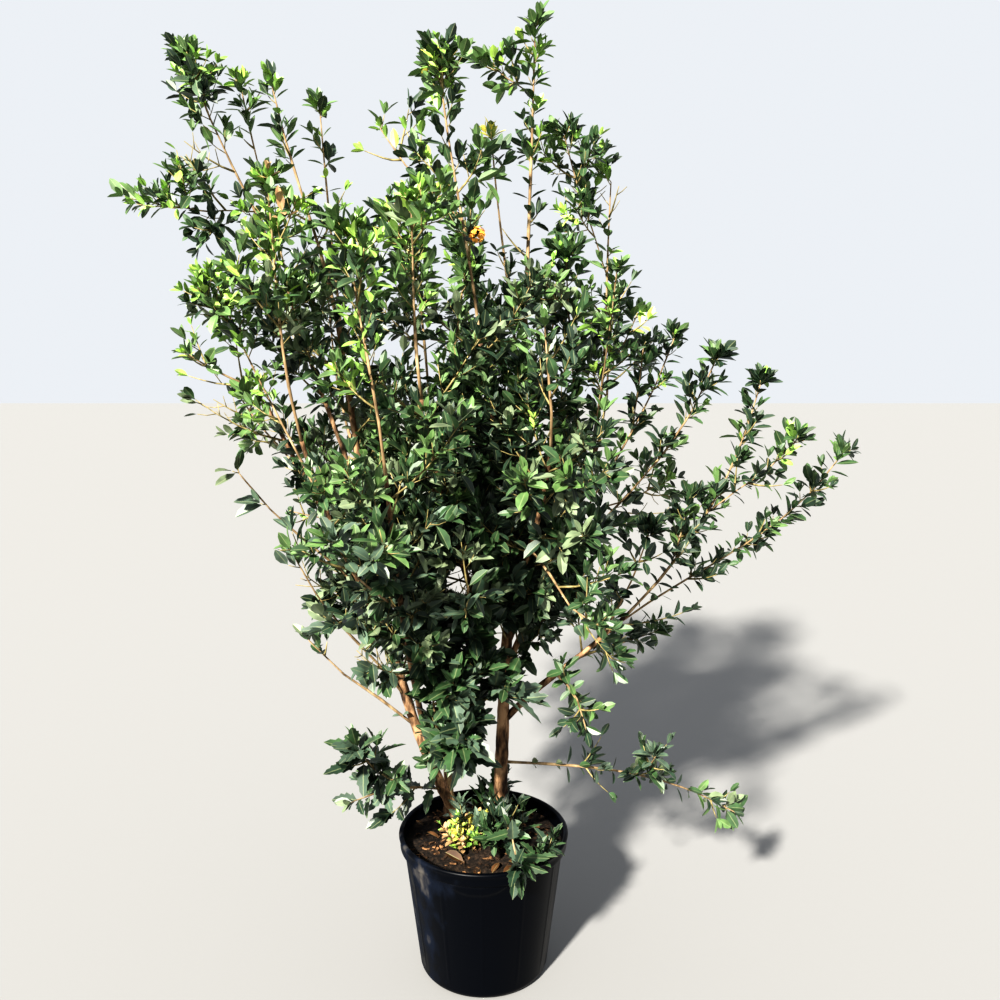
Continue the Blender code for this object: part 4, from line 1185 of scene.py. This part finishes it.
def soil_height(x, y):
    """Height of the soil: heaped a little in the middle, lumpy all over, with a hollow in front."""
    out = math.hypot(x, y)
    heap = SOIL_TOP - HEAP * (out / SOIL_REACH) ** 2
    lumps = sum(rise * noise.noise(Vector((x * scale, y * scale, phase))) for scale, phase, rise in LUMPS)
    away = (x - HOLLOW_PLACE[0]) ** 2 + (y - HOLLOW_PLACE[1]) ** 2
    return heap + lumps - HOLLOW_DEPTH * math.exp(-away / HOLLOW_AREA)


def build_soil(material):
    """The soil that fills the pot, with an uneven top."""
    wall = outer_radius(SOIL_EDGE_TOP) - WALL - GAP
    sides, rings = 120, 34
    profile = [(0.0, FLOOR + GAP), (BASE_RADIUS - 0.021, FLOOR + GAP), (BASE_RADIUS - WALL - 0.001, 0.03)]
    rise(profile, (outer_radius(0.2) - WALL - GAP * 2, 0.2), (wall, SOIL_EDGE_TOP - 0.01), 2)
    first = len(profile) - 1
    for k in range(rings):
        profile.append((wall * (1.0 - k / rings), SOIL_TOP))
    profile.append((0.0, SOIL_TOP))
    verts, tris, quads = lathe_arrays(profile, sides)
    for spot in verts[first * sides:]:
        if spot[2] > SOIL_TOP - 0.001:
            spot[2] = soil_height(spot[0], spot[1])
    return mesh_object("soil_surface", verts, tris, quads, material)


def soil_spot(chance, reach_out):
    """A place on the soil, away from its rim."""
    angle = chance.uniform(0.0, 2 * math.pi)
    out = reach_out * math.sqrt(chance.random())
    x, y = out * math.cos(angle), out * math.sin(angle)
    return Vector((x, y, soil_height(x, y)))


def build_chips(name, count, sizes, material, chance):
    """Chips of bark: flat splinters with uneven ends, lying at all angles."""
    verts, quads = [], []
    shape = ((0, 3, 2, 1), (4, 5, 6, 7), (0, 1, 5, 4), (1, 2, 6, 5), (2, 3, 7, 6), (3, 0, 4, 7))
    for _ in range(count):
        spot = soil_spot(chance, CHIPS_REACH)
        length = chance.uniform(*sizes)
        long_way = swing_out(UP, chance.uniform(0.0, 2 * math.pi))
        long_way = (long_way + UP * chance.uniform(-0.35, 0.35)).normalized()
        broad_way = long_way.cross(UP).normalized() * length * chance.uniform(0.25, 0.5)
        thick_way = long_way.cross(broad_way).normalized() * length * chance.uniform(0.08, 0.18)
        first = len(verts)
        for level in (-1, 1):
            for a, b in ((-1, -1), (1, -1), (1, 1), (-1, 1)):
                jitter = Vector([chance.uniform(-0.12, 0.12) * length for _ in range(3)])
                point = spot + UP * 0.002 + long_way * (a * length / 2) + broad_way * (b / 2)
                verts.append(point + thick_way * (level / 2) + jitter * 0.6)
        quads += [[first + n for n in face] for face in shape]
    made = mesh_object(name, np.array(verts), np.zeros((0, 3), dtype=int), np.array(quads), material)
    made.data.set_sharp_from_angle(angle=math.radians(30))
    return made


def litter_rows(chance, count):
    """Dry fallen leaves that lie on the soil."""
    rows = []
    for _ in range(count):
        spot = soil_spot(chance, FALLEN_REACH) + UP * chance.uniform(0.003, 0.008)
        way = swing_out(UP, chance.uniform(0.0, 2 * math.pi)) + UP * chance.uniform(-0.15, 0.3)
        face = UP + swing_out(UP, chance.uniform(0.0, 6.0)) * chance.uniform(0.0, 0.5)
        length = chance.uniform(*FALLEN_SIZES)
        ratio = chance.uniform(0.38, 0.5)
        fold = chance.uniform(0.2, 0.7)
        rows.append((*spot, *way, *face, length, length * ratio, fold, chance.uniform(-0.2, 0.3)))
    return rows


def add_sun():
    """A soft sun from the front left."""
    data = bpy.data.lights.new("sun", "SUN")
    data.energy = SUN_STRENGTH
    data.color = SUN_COLOUR
    data.angle = SUN_SPREAD
    lamp = bpy.data.objects.new("sun", data)
    lamp.rotation_euler = Vector(SUN_PLACE).to_track_quat("Z", "Y").to_euler()
    bpy.context.scene.collection.objects.link(lamp)


def build_stage():
    """Plain pale floor, soft studio light and the camera."""
    far = FLOOR_REACH
    verts = np.array([(-far, -far, 0), (far, -far, 0), (far, far, 0), (-far, far, 0)], dtype=float)
    material, _, shader = surface("studio_floor", 0.9, 0.2)
    shader.inputs["Base Color"].default_value = FLOOR_COLOUR
    floor = mesh_object("floor", verts - (0, 0, FLOOR_DROP), np.zeros((0, 3), dtype=int),
                        np.array([(0, 1, 2, 3)]), material)
    world = bpy.data.worlds.new("studio")
    world.use_nodes = True
    world.node_tree.nodes["Background"].inputs["Color"].default_value = SKY_COLOUR
    world.node_tree.nodes["Background"].inputs["Strength"].default_value = SKY_STRENGTH
    bpy.context.scene.world = world
    add_sun()
    bpy.context.scene.view_settings.view_transform = "Standard"
    bpy.context.scene.view_settings.look = PICTURE_LOOK
    camera = bpy.data.cameras.new("camera")
    camera.lens = CAMERA_LENS
    camera.sensor_width = CAMERA_SENSOR
    eye = bpy.data.objects.new("camera", camera)
    eye.location = CAMERA_PLACE
    eye.rotation_euler = (math.radians(90.0 - CAMERA_PITCH), 0.0, 0.0)
    bpy.context.scene.collection.objects.link(eye)
    bpy.context.scene.camera = eye


def settle(piece, slot, *nodes):
    """Ties a piece to the frame: the body it rides on and the nodes it stands for. The slot argument, its
    finish, is not used.
    """
    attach(piece, "root")
    if nodes:
        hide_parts(*nodes)


def grow_inner(foliage, axis, chance):
    """Leafy side shoots on a stem or bough, between the masses."""
    first = max(0.0, (INNER_FROM - axis.points[0].z) / (axis.points[-1].z - axis.points[0].z))
    pairs = round(axis.length() * (1.0 - first) / INNER_STEP)
    turn = chance.uniform(0.0, math.pi)
    for k in range(pairs):
        share = first + (1.0 - first) * (k + chance.uniform(0.2, 0.8)) / pairs
        spot, way, _ = axis.spot(share)
        for n in range(2):
            out = swing_out(way, turn + n * math.pi + chance.uniform(-INNER_JITTER, INNER_JITTER))
            length = chance.uniform(*INNER_LENGTHS)
            twig = make_twig(spot, way, out, length, TWIG_ANGLE, chance.uniform(*INNER_LIFTS))
            tip = twig.points[1]
            inside = OPEN_SIDES[0] < tip.x < OPEN_SIDES[1]
            if not inside and chance.random() > OPEN_SHARE:
                continue
            foliage.grow_twig(inner_mass(tip), twig, 0.0, 1.0)
        turn += math.pi / 2


def inner_mass(place):
    """The mass whose looks the leaves at an inner place take."""
    if place.x > OPEN_SIDES[1]:
        return "right_rear_mass"
    if place.y > 0.12:
        return "back_left_mass"
    if place.z < 1.15:
        return "front_low_mass"
    return "front_right_mass"


def grow_foliage(limbs, shoots):
    """All leaves, twigs and shoots: first those on the stems and boughs, then each mass."""
    foliage = Foliage()
    chance = random.Random(SEED + 3)
    for axis in limbs.values():
        grow_inner(foliage, axis, chance)
    for name, axes in shoots.items():
        space = plan_space(name, limbs, shoots)
        twig_chance = random.Random(f"{SEED} {name} twigs")
        _, _, main_profile, fork_fullness = LOOKS[name]
        for number, axis in enumerate(axes):
            profile = main_profile if number == 0 else (fork_fullness, fork_fullness)
            for twig in grow_twigs(axis, MASSES[name][4], space, twig_chance):
                share = (twig.points[0] - axis.points[0]).length / axis.length()
                foliage.grow_twig(name, twig, share ** 2, fullness_at(profile, share))
            foliage.grow_shoot(name, axis, profile)
    return foliage


def add_tuft(foliage, chance, centre, reach, shoots, heights, kind, sizes, colours):
    """Small leafy shoots over the soil."""
    for _ in range(shoots):
        angle = chance.uniform(0.0, 2 * math.pi)
        out = Vector((math.cos(angle), math.sin(angle), 0.0))
        foot = Vector((*centre, 0.0)) + out * chance.uniform(0.2, 1.0) * reach
        foot.z = soil_height(foot.x, foot.y) - 0.004
        arrive = (UP + out * chance.uniform(0.15, 0.6)).normalized()
        tip = foot + arrive * chance.uniform(*heights)
        points, ways = curve(foot, UP, arrive, tip, 3)
        radii = [SPRIG_RADIUS, SPRIG_RADIUS, SPRIG_END_RADIUS, SPRIG_END_RADIUS]
        foliage.twigs.add(points, radii, 3)
        style = (kind, sizes, chance.choice(colours))
        foliage.leaf_run(Axis(points, ways, radii), LEAF_FIRSTS["tuft"], style, TUFT_PAIR_STEP)


def build_blossom(place, way, material):
    """A tight ball of small four-petalled flowers at the end of a sprig."""
    chance = random.Random(SEED + 4)
    middle = place + way * BLOSSOM_RADIUS * 0.6
    rows = []
    for _ in range(FLORETS):
        out = Vector([chance.gauss(0.0, 1.0) for _ in range(3)]).normalized()
        root = middle + out * BLOSSOM_RADIUS * chance.uniform(0.55, 1.0)
        turn = chance.uniform(0.0, math.pi)
        for n in range(4):
            petal = (swing_out(out, turn + n * math.pi / 2) + out * 0.5).normalized()
            rows.append((*root, *petal, *out, FLORET_SIZE, FLORET_SIZE * 0.75, 0.2, 0.1))
    return build_leaves("blossom", rows, PETAL_OUTLINE, material)


def main():
    """Builds all the pieces and settles them on the frame."""
    limbs = plan_limbs()
    shoots = plan_shoots(limbs)
    foliage = grow_foliage(limbs, shoots)
    chance = random.Random(SEED + 2)
    for tuft in TUFTS:
        add_tuft(foliage, chance, *tuft)
    bark = wood_material("bark", BARK_STOPS, 60.0, UPRIGHT_GRAIN, 1.0)
    settle(build_bark(limbs, bark), "bark", *limbs)
    shoot_wood = wood_material("shoot_bark", SHOOT_STOPS, 60.0, UPRIGHT_GRAIN, 0.4)
    settle(foliage.wood.build("shoots", shoot_wood), "bark", *MASSES)
    twig_wood = wood_material("twig_bark", TWIG_STOPS, 90.0, TWIG_GRAIN, 0.3)
    settle(foliage.twigs.build("twigs", twig_wood), "bark", *MASSES)
    outlines = {"plain": PLAIN_OUTLINE, "toothed": TOOTHED_OUTLINE}
    materials = {name: leaf_material(name, colour) for name, colour in LEAF_COLOURS.items()}
    for (kind, colour), rows in sorted(foliage.leaves.items()):
        leaves = build_leaves(f"leaves_{kind}_{colour}", rows, outlines[kind], materials[colour])
        settle(leaves, "foliage", *MASSES)
    place, way = min(foliage.tips, key=blossom_rank)
    settle(build_blossom(place, way, leaf_material("flower", BLOSSOM_COLOUR, DRY_SPECULAR)), "foliage")
    settle(build_pot(pot_material()), "pot", "pot")
    compost = wood_material("compost", COMPOST_STOPS, 120.0, EVEN_GRAIN, 1.0)
    settle(build_soil(compost), "soil", "soil")
    chance = random.Random(SEED + 1)
    chips = wood_material("bark_chips", CHIP_STOPS, 70.0, EVEN_GRAIN, 0.5)
    settle(build_chips("bark_chips", CHIPS, CHIP_SIZES, chips, chance), "soil")
    dry = leaf_material("dry", DRY_COLOUR, DRY_SPECULAR)
    litter = build_leaves("fallen_leaves", litter_rows(chance, FALLEN), PLAIN_OUTLINE, dry)
    settle(litter, "soil")
    build_stage()


main()
